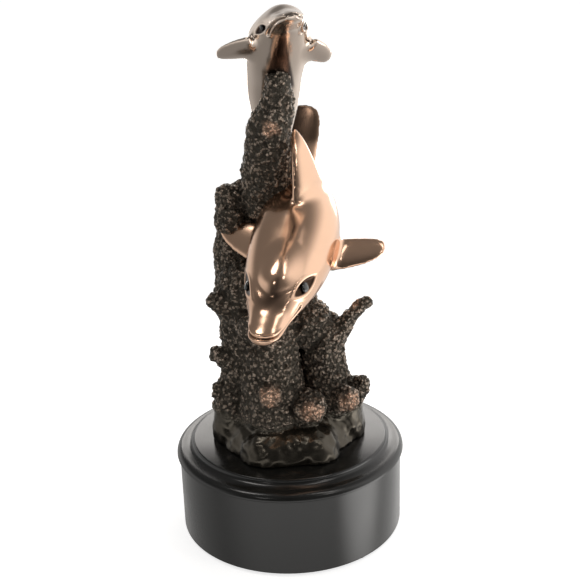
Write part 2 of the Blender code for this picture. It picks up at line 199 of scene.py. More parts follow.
bright_right = product(tree, steps["right"], BRIGHT_GROUND_RIGHT)
bright_side = maths(tree, "MAXIMUM", bright_right, steps["front"])
ground = maths(tree, "MULTIPLY_ADD", bright_side, BRIGHT_GROUND, GROUND)
ground = product(tree, ground, maths(tree, "MULTIPLY_ADD", steps["nadir"], -NADIR_SHADE, 1.0))
glare = add_node(tree, "ShaderNodeVectorMath", operation="DOT_PRODUCT")
glare.inputs[1].default_value = GLARE_DIRECTION
tree.links.new(direction, glare.inputs[0])
glare_level = smooth_step(tree, glare.outputs["Value"], *GLARE_STEP)
ground = maths(tree, "MULTIPLY_ADD", glare_level, GLARE, ground)

above = product(tree, walls, maths(tree, "SUBTRACT", 1.0, steps["ground"]))
level = maths(tree, "MULTIPLY_ADD", ground, steps["ground"], above)
tree.links.new(level, tree.nodes["Background"].inputs["Strength"])
tree.nodes["Background"].inputs["Color"].default_value = ROOM_WHITE
print("room nodes", len(tree.nodes))

# %% [markdown]
# Four soft lamps give the small bright highlights. A broad one hangs over the trophy at the left
# and a long one at the right, and they shine on each forehead and beak. Two small ones stand in
# front, and show in the plinth's hollow moulding too. A glowing white card stands low behind the
# trophy: the plinth's flat top mirrors it on both sides of the coral. Each row gives a lamp's
# direction, the way that its height runs, its width and height, its power and its distance.

# %% Lamps
LOOK_AT = Vector((0.0, 0.0, 0.17))
LAMP_COLOUR = (1.0, 0.96, 0.92)
UPRIGHT = (0.0, 0.0, 1.0)
LAMPS = {
    "lamp_over_left": ((-0.42, -0.05, 0.91), (0.0, 1.0, 0.0), (0.30, 0.24), 1.20, 1.1),
    "lamp_over_right": ((0.40, -0.27, 0.88), (0.49, -0.39, -0.43), (0.11, 0.60), 0.85, 1.1),
    "lamp_front_left": ((-0.43, -0.81, 0.41), UPRIGHT, (0.13, 0.10), 0.30, 1.1),
    "lamp_front_right": ((0.52, -0.62, 0.58), UPRIGHT, (0.10, 0.14), 0.30, 1.1),
    "card_behind": ((0.06, 0.99, 0.11), UPRIGHT, (0.50, 0.12), 0.50, 0.353),
}


def add_lamp(name, towards, along, size, power, distance):
    """A soft rectangular lamp in that direction from the trophy, which it faces."""
    data = bpy.data.lights.new(name, "AREA")
    data.shape = "RECTANGLE"
    data.size, data.size_y = size
    data.energy = power
    data.color = LAMP_COLOUR
    lamp = bpy.data.objects.new(name, data)
    bpy.context.scene.collection.objects.link(lamp)
    towards = Vector(towards).normalized()
    across = Vector(along).cross(towards).normalized()
    turn = Matrix((across, towards.cross(across), towards)).transposed()
    lamp.matrix_world = Matrix.Translation(LOOK_AT + towards * distance) @ turn.to_4x4()
    lamp.visible_camera = False


for name, settings in LAMPS.items():
    add_lamp(name, *settings)
print("lamps", list(LAMPS))

# %% [markdown]
# The floor is a wide pale disc that glows a little, so that it fades into the white of the
# picture. It stays out of the mirror images, because the room's own ground level serves there.

# %% Floor
FLOOR_RADIUS = 12.0
FLOOR_TONE = (0.86, 0.86, 0.86, 1.0)
FLOOR_GLOW = 0.75

floor_shape = bmesh.new()
bmesh.ops.create_circle(floor_shape, cap_ends=True, segments=64, radius=FLOOR_RADIUS)
floor_mesh = bpy.data.meshes.new("floor")
floor_shape.to_mesh(floor_mesh)
floor_shape.free()
floor = bpy.data.objects.new("floor", floor_mesh)
bpy.context.scene.collection.objects.link(floor)
floor.visible_glossy = False
floor_finish = bpy.data.materials.new("pale_floor")
floor_finish.use_nodes = True
paint = floor_finish.node_tree.nodes["Principled BSDF"]
for socket, value in {
    "Base Color": FLOOR_TONE,
    "Roughness": 0.9,
    "Specular IOR Level": 0.0,
    "Emission Color": (1.0, 1.0, 1.0, 1.0),
    "Emission Strength": FLOOR_GLOW,
}.items():
    paint.inputs[socket].default_value = value
floor_mesh.materials.append(floor_finish)
print("floor radius in m", FLOOR_RADIUS)

# %% [markdown]
# ## Effects that the finishes share
#
# All the finishes have tones that wander a little, and the castings keep dark patina in their
# hollows. The dolphins also carry painted shade and painted dark reflections in the same dark
# colour. A node group does all of this, and each material gives it its own colours and sizes.

# %% Patina and painted shade
def new_group(name, inputs, outputs):
    """A node group: an input has a kind and a value, an output has a kind."""
    group = bpy.data.node_groups.new(name, "ShaderNodeTree")
    for socket, (kind, value) in inputs.items():
        made = group.interface.new_socket(name=socket, in_out="INPUT", socket_type=kind)
        made.default_value = value
    for socket, kind in outputs.items():
        group.interface.new_socket(name=socket, in_out="OUTPUT", socket_type=kind)
    return group, group.nodes.new("NodeGroupInput"), group.nodes.new("NodeGroupOutput")


# The mask input holds patina in hollows and, on the dolphins, painted shade and painted dark
# reflections.
patina_and_shade_group, given, result = new_group(
    "patina_and_shade_tone",
    {
        "Bare": ("NodeSocketColor", (0.8, 0.5, 0.4, 1.0)),
        "Patina And Shade Colour": ("NodeSocketColor", (0.1, 0.05, 0.03, 1.0)),
        "Patina And Shade Mask": ("NodeSocketFloat", 0.0),
        "Cloud Size": ("NodeSocketFloat", 60.0),
        "Cloud Share": ("NodeSocketFloat", 0.3),
    },
    {"Colour": "NodeSocketColor", "Mask": "NodeSocketFloat"},
)
where = add_node(patina_and_shade_group, "ShaderNodeTexCoord")
cloud = add_node(patina_and_shade_group, "ShaderNodeTexNoise", Detail=4.0, Roughness=0.6)
cloud_share = add_node(patina_and_shade_group, "ShaderNodeMath", operation="MULTIPLY")
mask = add_node(patina_and_shade_group, "ShaderNodeMath", operation="ADD", use_clamp=True)
blend = add_node(patina_and_shade_group, "ShaderNodeMix", data_type="RGBA")
link(
    patina_and_shade_group,
    (where.outputs["Object"], cloud.inputs["Vector"]),
    (given.outputs["Cloud Size"], cloud.inputs["Scale"]),
    (cloud.outputs["Fac"], cloud_share.inputs[0]),
    (given.outputs["Cloud Share"], cloud_share.inputs[1]),
    (cloud_share.outputs["Value"], mask.inputs[0]),
    (given.outputs["Patina And Shade Mask"], mask.inputs[1]),
    (mask.outputs["Value"], blend.inputs["Factor"]),
    (given.outputs["Bare"], blend.inputs["A"]),
    (given.outputs["Patina And Shade Colour"], blend.inputs["B"]),
    (blend.outputs["Result"], result.inputs["Colour"]),
    (mask.outputs["Value"], result.inputs["Mask"]),
)
print("group", patina_and_shade_group.name)

# %% [markdown]
# A second group gives the fine unevenness of a hand-finished surface, from fine grain and broad
# swells. It puts out a height for a Bump node and a value that varies the roughness.

# %% Hand finish
FINE_GRAIN_SHARE = 0.3
NOISE_RANGE = (0.3, 0.7)

finishing, given, result = new_group(
    "hand_finish",
    {
        "Grain Size": ("NodeSocketFloat", 800.0),
        "Swell Size": ("NodeSocketFloat", 90.0),
        "Smoothest": ("NodeSocketFloat", 0.2),
        "Roughest": ("NodeSocketFloat", 0.3),
    },
    {"Height": "NodeSocketFloat", "Roughness": "NodeSocketFloat"},
)
where = add_node(finishing, "ShaderNodeTexCoord")
grain = add_node(finishing, "ShaderNodeTexNoise", Detail=3.0)
swell = add_node(finishing, "ShaderNodeTexNoise", Detail=1.0)
height = add_node(finishing, "ShaderNodeMath", operation="MULTIPLY_ADD")
height.inputs[1].default_value = FINE_GRAIN_SHARE
spread = add_node(finishing, "ShaderNodeMapRange")
spread.inputs["From Min"].default_value, spread.inputs["From Max"].default_value = NOISE_RANGE
link(
    finishing,
    (where.outputs["Object"], grain.inputs["Vector"]),
    (where.outputs["Object"], swell.inputs["Vector"]),
    (given.outputs["Grain Size"], grain.inputs["Scale"]),
    (given.outputs["Swell Size"], swell.inputs["Scale"]),
    (grain.outputs["Fac"], height.inputs[0]),
    (swell.outputs["Fac"], height.inputs[2]),
    (swell.outputs["Fac"], spread.inputs["Value"]),
    (given.outputs["Smoothest"], spread.inputs["To Min"]),
    (given.outputs["Roughest"], spread.inputs["To Max"]),
    (height.outputs["Value"], result.inputs["Height"]),
    (spread.outputs["Result"], result.inputs["Roughness"]),
)
print("group", finishing.name)

# %% [markdown]
# ## Metals
#
# The dolphins are polished bronze with a pale copper tone: a metal whose hollows keep a brown
# patina. Painted shade and painted dark reflections use the same brown. Both come from the mesh,
# as an attribute named patina_and_painted_shade that is worked out where the mesh is made. A
# finish is a row of five numbers: grain size, swell size, the smoothest and the roughest value of
# the roughness, and the height of the bumps in metres.

# %% Metals
METAL_FINISH = (900.0, 120.0, 0.15, 0.21, 0.000012)
METAL_CLOUDS = (45.0, 0.10)


def new_material(name):
    """A material with its node tree and its shader."""
    material = bpy.data.materials.new(name)
    material.use_nodes = True
    return material, material.node_tree, material.node_tree.nodes["Principled BSDF"]


def place_group(tree, group, values):
    """The group as a node, with those values in its sockets."""
    node = tree.nodes.new("ShaderNodeGroup")
    node.node_tree = group
    for socket, value in values.items():
        node.inputs[socket].default_value = value
    return node


def add_tone(tree, shader, bare, dull, size, share):
    """A base colour that turns from bare to dull in clouds of that size and share."""
    colours = {"Bare": (*bare, 1.0), "Patina And Shade Colour": (*dull, 1.0)}
    tone = place_group(tree, patina_and_shade_group, {**colours, "Cloud Size": size, "Cloud Share": share})
    tree.links.new(tone.outputs["Colour"], shader.inputs["Base Color"])
    return tone


def add_finish(tree, shader, grain, swell, smoothest, roughest, bump):
    """Fine unevenness and wandering gloss on a material."""
    sizes = {"Grain Size": grain, "Swell Size": swell}
    finish = place_group(tree, finishing, {**sizes, "Smoothest": smoothest, "Roughest": roughest})
    relief = add_node(tree, "ShaderNodeBump", Strength=1.0, Distance=bump)
    link(
        tree,
        (finish.outputs["Height"], relief.inputs["Height"]),
        (relief.outputs["Normal"], shader.inputs["Normal"]),
        (finish.outputs["Roughness"], shader.inputs["Roughness"]),
    )


def polished_metal(name, bare, dull):
    """Polished metal of a bare colour, with a dull one for the patina and the painted shade that
    the mesh marks.
    """
    material, tree, shader = new_material(name)
    shader.inputs["Metallic"].default_value = 1.0
    # This attribute holds the patina and the painted shade.
    patina_and_painted_shade = add_node(tree, "ShaderNodeAttribute", attribute_name="patina_and_painted_shade")
    tone = add_tone(tree, shader, bare, dull, *METAL_CLOUDS)
    tree.links.new(patina_and_painted_shade.outputs["Fac"], tone.inputs["Patina And Shade Mask"])
    add_finish(tree, shader, *METAL_FINISH)
    return material


lower_bronze = polished_metal("copper_bronze", (0.93, 0.61, 0.43), (0.05, 0.03, 0.02))
upper_bronze = polished_metal("pale_bronze", (0.88, 0.74, 0.63), (0.05, 0.035, 0.03))
print("metals", lower_bronze.name, upper_bronze.name)

# %% [markdown]
# The coral's surface is a crust of grains not quite two millimetres wide. A group makes them from
# two sizes of Voronoi cells, bent by noise so that no row shows, and puts out their height and
# the crevices between them.

# %% Coral crust
PIT_SHARE = 0.4
CREVICE_STEP = (0.31, 0.62)

crust, given, result = new_group(
    "coral_crust",
    {
        "Grain Size": ("NodeSocketFloat", 560.0),
        "Pit Size": ("NodeSocketFloat", 1500.0),
        "Wander": ("NodeSocketFloat", 0.0012),
    },
    {"Height": "NodeSocketFloat", "Crevice": "NodeSocketFloat"},
)
where = add_node(crust, "ShaderNodeTexCoord").outputs["Object"]
wind = add_node(crust, "ShaderNodeTexNoise", Scale=260.0, Detail=2.0)
bent = add_node(crust, "ShaderNodeVectorMath", operation="MULTIPLY_ADD")
grain = add_node(crust, "ShaderNodeTexVoronoi", feature="SMOOTH_F1", Smoothness=0.35)
pit = add_node(crust, "ShaderNodeTexVoronoi", feature="F1")
link(
    crust,
    (where, wind.inputs["Vector"]),
    (wind.outputs["Color"], bent.inputs[0]),
    (given.outputs["Wander"], bent.inputs[1]),
    (where, bent.inputs[2]),
    (bent.outputs["Vector"], grain.inputs["Vector"]),
    (given.outputs["Grain Size"], grain.inputs["Scale"]),
    (bent.outputs["Vector"], pit.inputs["Vector"]),
    (given.outputs["Pit Size"], pit.inputs["Scale"]),
)
low_grain = maths(crust, "MULTIPLY", grain.outputs["Distance"], -1.0)
height = maths(crust, "MULTIPLY_ADD", pit.outputs["Distance"], -PIT_SHARE, low_grain)
crevice = smooth_step(crust, grain.outputs["Distance"], *CREVICE_STEP)
link(crust, (height, result.inputs["Height"]), (crevice, result.inputs["Crevice"]))
print("group", crust.name)

# %% [markdown]
# The coral is bronze under a black-brown patina, and only its raised grains are rubbed bare. The
# mesh says where the crust fades into the smooth foot of the reef (attribute grainy) and which
# knobs are rubbed bright (attribute rubbed). The foot and the rubbed knobs are glossier.

# %% Coral patina
WORN = (0.92, 0.74, 0.60, 1.0)
BLACKENED = (0.085, 0.075, 0.060, 1.0)
RUBBED = (0.86, 0.56, 0.40, 1.0)
CORAL_METALLIC = 0.9
CRUST_HEIGHT = 0.0016
RUBBED_CREVICE = 0.75
BARE_ROUGHNESS = 0.20
PATINA_ROUGHNESS = 0.20
FOOT_GLOSS = 0.18
RUBBED_GLOSS = 0.06

coral_bronze, tree, shader = new_material("coral_patina")
relief = place_group(tree, crust, {})
patina_and_painted_shade, grainy, rubbed = (
    add_node(tree, "ShaderNodeAttribute", attribute_name=name).outputs["Fac"]
    for name in ("patina_and_painted_shade", "grainy", "rubbed")
)
smooth_foot = maths(tree, "SUBTRACT", 1.0, grainy)
dark = maths(tree, "MAXIMUM", relief.outputs["Crevice"], patina_and_painted_shade)
dark = maths(tree, "MAXIMUM", dark, smooth_foot)
tone = place_group(
    tree, patina_and_shade_group, {"Bare": WORN, "Patina And Shade Colour": BLACKENED, "Cloud Size": 70.0, "Cloud Share": 0.62}
)
rubbed_top = maths(tree, "MULTIPLY_ADD", relief.outputs["Crevice"], -RUBBED_CREVICE, 1.0)
rubbed_top = product(tree, rubbed_top, rubbed)
shine = add_node(tree, "ShaderNodeMix", data_type="RGBA")
shine.inputs["B"].default_value = RUBBED
matt = maths(tree, "MULTIPLY_ADD", tone.outputs["Mask"], PATINA_ROUGHNESS, BARE_ROUGHNESS)
matt = maths(tree, "MULTIPLY_ADD", smooth_foot, -FOOT_GLOSS, matt)
matt = maths(tree, "MULTIPLY_ADD", rubbed_top, -RUBBED_GLOSS, matt)
lumps = add_node(tree, "ShaderNodeBump", Strength=1.0, Distance=CRUST_HEIGHT)
shader.inputs["Metallic"].default_value = CORAL_METALLIC
link(
    tree,
    (dark, tone.inputs["Patina And Shade Mask"]),
    (rubbed_top, shine.inputs["Factor"]),
    (tone.outputs["Colour"], shine.inputs["A"]),
    (shine.outputs["Result"], shader.inputs["Base Color"]),
    (matt, shader.inputs["Roughness"]),
    (product(tree, relief.outputs["Height"], grainy), lumps.inputs["Height"]),
    (lumps.outputs["Normal"], shader.inputs["Normal"]),
)
print("coral", coral_bronze.name)

# %% [markdown]
# ## Lacquer, rubber and eyes
#
# The plinth is turned wood under black satin lacquer, so it is a dark non-metal whose gloss
# wanders slightly. The feet are plain rubber. The eyes get a glossy patina that is nearly black.

# %% Lacquer, rubber and eyes
PLAIN_CLOUD_SIZE = 60.0
COAT_ROUGHNESS = 0.15


def plain_finish(name, bare, dull, clouds, finish, coat=0.0):
    """A dark non-metal, with a clear coat where coat is more than 0."""
    material, tree, shader = new_material(name)
    add_tone(tree, shader, bare, dull, PLAIN_CLOUD_SIZE, clouds)
    add_finish(tree, shader, *finish)
    shader.inputs["Coat Weight"].default_value = coat
    shader.inputs["Coat Roughness"].default_value = COAT_ROUGHNESS
    return material


lacquer = plain_finish(
    "satin_lacquer", (0.010, 0.010, 0.009), (0.006, 0.006, 0.006), 0.6,
    (2600.0, 70.0, 0.17, 0.24, 0.00001), 0.25,
)
rubber = plain_finish(
    "foot_rubber", (0.020, 0.020, 0.020), (0.030, 0.029, 0.027), 0.5,
    (3000.0, 200.0, 0.70, 0.90, 0.00005),
)
eye_patina = plain_finish(
    "dark_eye_patina", (0.006, 0.008, 0.008), (0.012, 0.012, 0.010), 0.5,
    (1200.0, 300.0, 0.06, 0.12, 0.000005), 1.0,
)
print("finishes", lacquer.name, rubber.name, eye_patina.name)

# %% [markdown]
# ## Plinth
#
# A turner shapes the plinth against one profile, and so does this step. The round parts of the
# profile are arcs that start as one vertex spun about the arc's centre, and the corners between
# them are single vertices. The other helper makes a finished bmesh a piece of the trophy.

# %% Helpers for pieces and arcs
def new_piece(name, shape, material, smooth_angle=None):
    """Makes the bmesh an object that wears the material and rides on the trophy."""
    mesh = bpy.data.meshes.new(name)
    shape.to_mesh(mesh)
    shape.free()
    mesh.materials.append(material)
    piece = bpy.data.objects.new(name, mesh)
    bpy.context.scene.collection.objects.link(piece)
    mesh.shade_smooth()
    if smooth_angle is not None:
        mesh.set_sharp_from_angle(angle=math.radians(smooth_angle))
    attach(piece, "root")
    print(name, "faces", len(mesh.polygons))
    return piece


def spun_arc(shape, centre, radii, start, sweep, steps=10):
    """The vertices of an arc in the XZ plane, in order, with its angles in degrees."""
    cx, cz = centre
    angle = math.radians(start)
    first = shape.verts.new((cx + math.cos(angle), 0.0, cz + math.sin(angle)))
    bmesh.ops.spin(
        shape, geom=[first], cent=(cx, 0.0, cz), axis=(0.0, -1.0, 0.0),
        angle=math.radians(sweep), steps=steps,
    )
    shape.verts.ensure_lookup_table()
    arc = list(shape.verts)[-1 - steps :]
    for vert in arc:
        vert.co.x = cx + (vert.co.x - cx) * radii[0]
        vert.co.z = cz + (vert.co.z - cz) * radii[1]
    return arc


print("helpers for pieces and arcs are ready")

# %% [markdown]
# The profile starts at the middle of the flat top. It goes out over the disc's rounded edge, down
# the hollow moulding, round the lip, in under it to the straight drum, and round the drum's foot
# back to the axis. Spinning the finished profile about the plinth's axis makes the solid.

# %% Plinth
PLINTH_BOTTOM = 1.5
DISC_TOP = 51.3
DISC_RADIUS = 54.0
DISC_ROUNDING = 1.0
COVE_END = 59.5
COVE_DEPTH = 2.7
LIP_RADIUS = 63.5
LIP_TOP = 47.6
LIP_LOW = 43.9
LIP_CHAMFER = 0.8
DRUM_RADIUS = 62.0
DRUM_BELOW_LIP = 1.2
DRUM_ROUNDING = 0.8
TURNING_STEPS = 160

plinth_shape = bmesh.new()
corner = [plinth_shape.verts.new((0.0, 0.0, DISC_TOP))]
disc_side = DISC_TOP - DISC_ROUNDING
rounding = spun_arc(
    plinth_shape, (DISC_RADIUS - DISC_ROUNDING, disc_side), (DISC_ROUNDING, DISC_ROUNDING),
    90, -90, 6,
)
cove = spun_arc(plinth_shape, (COVE_END, disc_side), (COVE_END - DISC_RADIUS, COVE_DEPTH), 180, 90)
lip_radii = (LIP_RADIUS - COVE_END, LIP_TOP - LIP_LOW)
lip = spun_arc(plinth_shape, (COVE_END, LIP_LOW), lip_radii, 90, -90)
under_lip = [plinth_shape.verts.new((LIP_RADIUS - LIP_CHAMFER, 0.0, LIP_LOW - LIP_CHAMFER))]
under_lip.append(plinth_shape.verts.new((DRUM_RADIUS, 0.0, LIP_LOW - DRUM_BELOW_LIP)))
foot_rounding = spun_arc(
    plinth_shape, (DRUM_RADIUS - DRUM_ROUNDING, DRUM_ROUNDING), (DRUM_ROUNDING, DRUM_ROUNDING),
    0, -90, 5,
)
centre = [plinth_shape.verts.new((0.0, 0.0, 0.0))]
stretches = [corner, rounding, cove, lip, under_lip, foot_rounding, centre]
for before, after in zip(stretches, stretches[1:]):
    plinth_shape.edges.new((before[-1], after[0]))
plinth_shape.edges.new(under_lip)
bmesh.ops.spin(
    plinth_shape, geom=[*plinth_shape.verts, *plinth_shape.edges], cent=(0, 0, 0), axis=(0, 0, 1),
    angle=math.tau, steps=TURNING_STEPS, use_merge=True,
)
bmesh.ops.remove_doubles(plinth_shape, verts=plinth_shape.verts, dist=0.001)
bmesh.ops.recalc_face_normals(plinth_shape, faces=plinth_shape.faces)
bmesh.ops.transform(
    plinth_shape, verts=plinth_shape.verts,
    matrix=Matrix.Scale(MM, 4) @ Matrix.Translation((0, 0, PLINTH_BOTTOM)),
)
plinth = new_piece("turned_plinth", plinth_shape, lacquer, smooth_angle=35)
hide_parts("plinth")

# %% [markdown]
# ## Feet
#
# Three small rubber pads are stuck under the plinth. Each is a short cone with its lower edge
# rounded, made where its CAD node is.

# %% Feet
PAD_TAPER = 0.3
PAD_ROUNDING = 0.25

for name in ("foot_1", "foot_2", "foot_3"):
    low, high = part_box(name)
    pad_shape = bmesh.new()
    radius = (high.x - low.x) / 2
    bmesh.ops.create_cone(
        pad_shape, cap_ends=True, segments=40, radius1=radius - PAD_TAPER * MM, radius2=radius,
        depth=high.z - low.z, matrix=Matrix.Translation((low + high) / 2),
    )
    rim = [edge for edge in pad_shape.edges if max(vert.co.z for vert in edge.verts) < low.z + 1e-5]
    bmesh.ops.bevel(
        pad_shape, geom=rim, offset=PAD_ROUNDING * MM, segments=3, profile=0.5, affect="EDGES",
        material=-1,
    )
    pad = new_piece(f"{name}_pad", pad_shape, rubber, smooth_angle=40)
    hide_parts(name)

# %% [markdown]
# ## Coral
#
# The reef is a set of limbs, each a row of points with a radius. Balls set close together along
# a limb make its body, and a voxel remesh melts all balls into one skin. Three displacements
# then swell it into lumps, pits and grains. The limbs are those of the CAD part, so both coral
# skins agree; only the voxels and the grains are finer here.

# %% Coral limbs
CORAL_LIMBS = {
    "mound": [(-3.0, -2.0, 44.0, 37.0), (4.0, 2.0, 44.0, 37.0)],
    "mound_left": [(-30.0, -4.0, 56.0, 12.5), (-29.5, -4.0, 80.0, 11.0)],
    "mound_right": [(29.0, -3.0, 56.0, 13.5), (28.0, -2.0, 76.0, 12.0)],
    "mound_front": [(-12.0, -27.0, 54.0, 15.0), (12.0, -26.0, 54.0, 15.0)],
    "mound_back": [(-14.0, 26.0, 54.0, 15.0), (14.0, 26.0, 56.0, 15.0)],
    "reef_left": [(-19.0, 2.0, 70.0, 20.0), (-17.0, 3.0, 102.0, 18.5), (-19.0, 4.0, 136.0, 18.5)],
    "reef_front": [
        (-9.0, -14.0, 76.0, 18.0),
        (-8.0, -12.0, 104.0, 15.0),
        (-6.0, -6.0, 122.0, 12.0),
    ],
    "reef_right": [(21.0, -2.0, 74.0, 16.0), (20.0, -1.0, 98.0, 12.0), (21.0, -2.0, 114.0, 10.5)],
    "reef_back": [(2.0, 16.0, 70.0, 20.0), (2.0, 18.0, 104.0, 17.0), (0.0, 16.0, 136.0, 14.0)],
    "saddle": [(2.0, 4.0, 120.0, 16.0), (4.0, 9.0, 144.0, 14.0)],
    "hump": [(12.0, -3.0, 116.0, 11.0), (15.0, -4.0, 122.0, 9.5)],
    "pillar": [(-20.0, 13.0, 130.0, 17.0), (-21.5, 21.0, 154.0, 17.0), (-19.0, 26.0, 178.0, 14.5)],
    "pillar_right": [
        (-4.0, 16.0, 136.0, 15.0),
        (-4.0, 18.0, 164.0, 13.5),
        (-5.0, 16.0, 188.0, 13.0),
    ],
    "upper_pillar": [
        (-6.0, 11.0, 186.0, 14.5),
        (-6.0, 6.0, 206.0, 14.0),
        (-4.5, 0.0, 224.0, 11.0),
        (0.0, -6.0, 238.0, 8.0),
        (0.0, -13.0, 251.5, 6.0),
    ],
    "branch": [
        (22.0, -3.0, 106.0, 8.0),
        (28.5, -5.0, 114.5, 5.2),
        (35.0, -6.0, 124.0, 4.2),
        (43.0, -7.5, 131.5, 3.3),
    ],
    "knob_right": [(28.0, -4.0, 76.0, 9.0), (37.0, -6.0, 80.0, 6.5), (40.5, -7.0, 83.5, 5.0)],
    "knob_left_low": [(-30.0, -5.0, 80.0, 8.0), (-37.0, -7.0, 83.0, 5.0)],
    "knob_left_middle": [(-30.0, -4.0, 100.0, 7.0), (-37.0, -6.0, 104.0, 4.2)],
    "knob_left_high": [(-30.0, -4.0, 132.0, 7.5), (-38.0, -7.0, 135.5, 4.2)],
    "knob_step": [(-28.0, 13.0, 173.0, 8.5), (-27.5, 12.0, 186.0, 7.5)],
    "knob_front_left": [(-10.0, -24.0, 86.0, 9.0), (-10.0, -30.0, 89.0, 6.0)],
    "knob_front": [(10.0, -22.0, 78.0, 10.0), (13.0, -29.0, 81.0, 6.5)],
    "knob_front_right": [(26.0, -12.0, 78.0, 9.0), (32.0, -18.0, 81.0, 6.5)],
    "knob_beak": [(-18.0, -14.0, 122.0, 8.0), (-19.0, -20.0, 127.0, 4.5)],
    "knob_back": [(10.0, 30.0, 92.0, 9.0), (13.0, 37.0, 98.0, 5.5)],
    "knob_back_left": [(-22.0, 20.0, 112.0, 9.0), (-28.0, 28.0, 118.0, 5.5)],
    "branch_back": [
        (-16.0, 22.0, 140.0, 8.0),
        (-22.0, 30.0, 148.0, 5.5),
        (-25.0, 34.0, 158.0, 4.4),
    ],
}
CASTING_BOTTOM = 53.1
BALL_SPACING = 0.35


def balls_along(limb):
    """Centre and radius of each ball along a limb."""
    for (*start, start_radius), (*end, end_radius) in zip(limb, limb[1:]):
        start, end = Vector(start), Vector(end)
        count = math.ceil((end - start).length / (BALL_SPACING * min(start_radius, end_radius)))
        for number in range(count + 1):
            share = number / count
            yield start.lerp(end, share), start_radius + (end_radius - start_radius) * share


coral_shape = bmesh.new()
ball_count = 0
for limb in CORAL_LIMBS.values():
    for middle, radius in balls_along(limb):
        ball = bmesh.ops.create_icosphere(coral_shape, subdivisions=3, radius=radius * MM)
        bmesh.ops.translate(coral_shape, verts=ball["verts"], vec=middle * MM)
        ball_count += 1
print("limbs", len(CORAL_LIMBS), "balls", ball_count)

# %% [markdown]
# Modifiers work only on objects, so a helper makes the bmesh a rough object for a moment, melts
# it with a voxel remesh, swells it with textures and reads it back. Another marks the hollows:
# a vertex lies in one if the middle of its neighbours lies outside it.

# %% Remeshing and marking
def rise(value, start, end):
    """Rises smoothly from 0 at start to 1 at end."""
    part = min(max((value - start) / (end - start), 0.0), 1.0)
    return part * part * (3 - 2 * part)


def smooth_all(shape, verts, rounds):
    """Moves the vertices towards the middle of their neighbours, round after round."""
    for _ in range(rounds):
        bmesh.ops.smooth_vert(
            shape, verts=verts, factor=0.5, use_axis_x=True, use_axis_y=True, use_axis_z=True
        )


def remeshed(shape, name, voxel, displacements=()):
    """A bmesh of one closed skin over the shape, swollen by textures of (kind, size, height)."""
    mesh = bpy.data.meshes.new(name)
    shape.to_mesh(mesh)
    shape.free()
    rough = bpy.data.objects.new(name, mesh)
    bpy.context.scene.collection.objects.link(rough)
    skin = rough.modifiers.new("skin", "REMESH")
    skin.mode = "VOXEL"
    skin.voxel_size = voxel * MM
    for kind, size, height in displacements:
        texture = bpy.data.textures.new(kind.lower(), kind)
        texture.noise_scale = size * MM
        swell = rough.modifiers.new(texture.name, "DISPLACE")
        swell.texture = texture
        swell.texture_coords = "LOCAL"
        swell.strength = height * MM
        swell.mid_level = 0.5
    graph = bpy.context.evaluated_depsgraph_get()
    made = bpy.data.meshes.new_from_object(rough.evaluated_get(graph), depsgraph=graph)
    skinned = bmesh.new()
    skinned.from_mesh(made)
    bpy.data.objects.remove(rough, do_unlink=True)
    bpy.data.meshes.remove(made)
    return skinned


def mark_hollows(shape, reach):
    """Writes the attribute patina_and_painted_shade, patina only here: near 1 where a vertex lies
    deeper than those round it.
    """
    layer = shape.verts.layers.float.new("patina_and_painted_shade")
    shape.normal_update()
    depths = {}
    for vert in shape.verts:
        round_it = [edge.other_vert(vert).co for edge in vert.link_edges]
        middle = sum(round_it, Vector()) / max(len(round_it), 1)
        depths[vert] = (middle - vert.co).dot(vert.normal)
    for vert, depth in depths.items():
        round_it = [depths[edge.other_vert(vert)] for edge in vert.link_edges]
        depth = (depth + sum(round_it)) / (1 + len(round_it))
        vert[layer] = min(max(0.5 + depth / (2 * reach * MM), 0.0), 1.0)


print("helpers for skins are ready")

# %% [markdown]
# Large clouds swell the skin into lumps, and two sizes of Voronoi cells give it pits and grains.
# A texture's row gives its kind, size and height in millimetres. The skin is cut flat where it
# stands on the plinth.

# %% Coral skin
CORAL_VOXEL = 0.85
CORAL_TEXTURES = [("CLOUDS", 9.0, 3.6), ("VORONOI", 3.4, 1.8), ("VORONOI", 1.9, -1.1)]

coral_shape = remeshed(coral_shape, "coral_rough", CORAL_VOXEL, CORAL_TEXTURES)
cut = bmesh.ops.bisect_plane(
    coral_shape, geom=[*coral_shape.verts, *coral_shape.edges, *coral_shape.faces],
    plane_co=(0, 0, CASTING_BOTTOM * MM), plane_no=(0, 0, 1), clear_inner=True,
)
rim = [item for item in cut["geom_cut"] if isinstance(item, bmesh.types.BMEdge)]
bmesh.ops.holes_fill(coral_shape, edges=rim, sides=0)
print("coral faces", len(coral_shape.faces))

# %% [markdown]
# The reef's foot is smooth on the casting, so the skin is smoothed there and the crust fades out
# along an edge that wanders up and down. The knobs that stand out are marked as rubbed: each row
# is a middle and a reach in millimetres, and noise makes the spot's edge ragged.

# %% Marks on the coral
HOLLOW_REACH = 0.16
FOOT_SMOOTHING = 10
CRUST_START = 72.0
CRUST_FADE = 6.0
CRUST_WANDER = (5.0, 60.0)
RUBBED_WANDER = (4.0, 260.0)
RUBBED_CORE = 0.4
RUBBED_SPOTS = [
    (-9.3, -36.0, 90.7, 9.0),
    (12.3, -35.0, 81.0, 8.0),
    (33.0, -23.0, 81.0, 8.0),
    (-4.1, -11.6, 226.4, 6.0),
    (37.5, -6.4, 132.0, 5.0),
]


def wandering(place, height, frequency):
    """Smooth noise of that height over the place."""
    return height * wander(place * frequency)


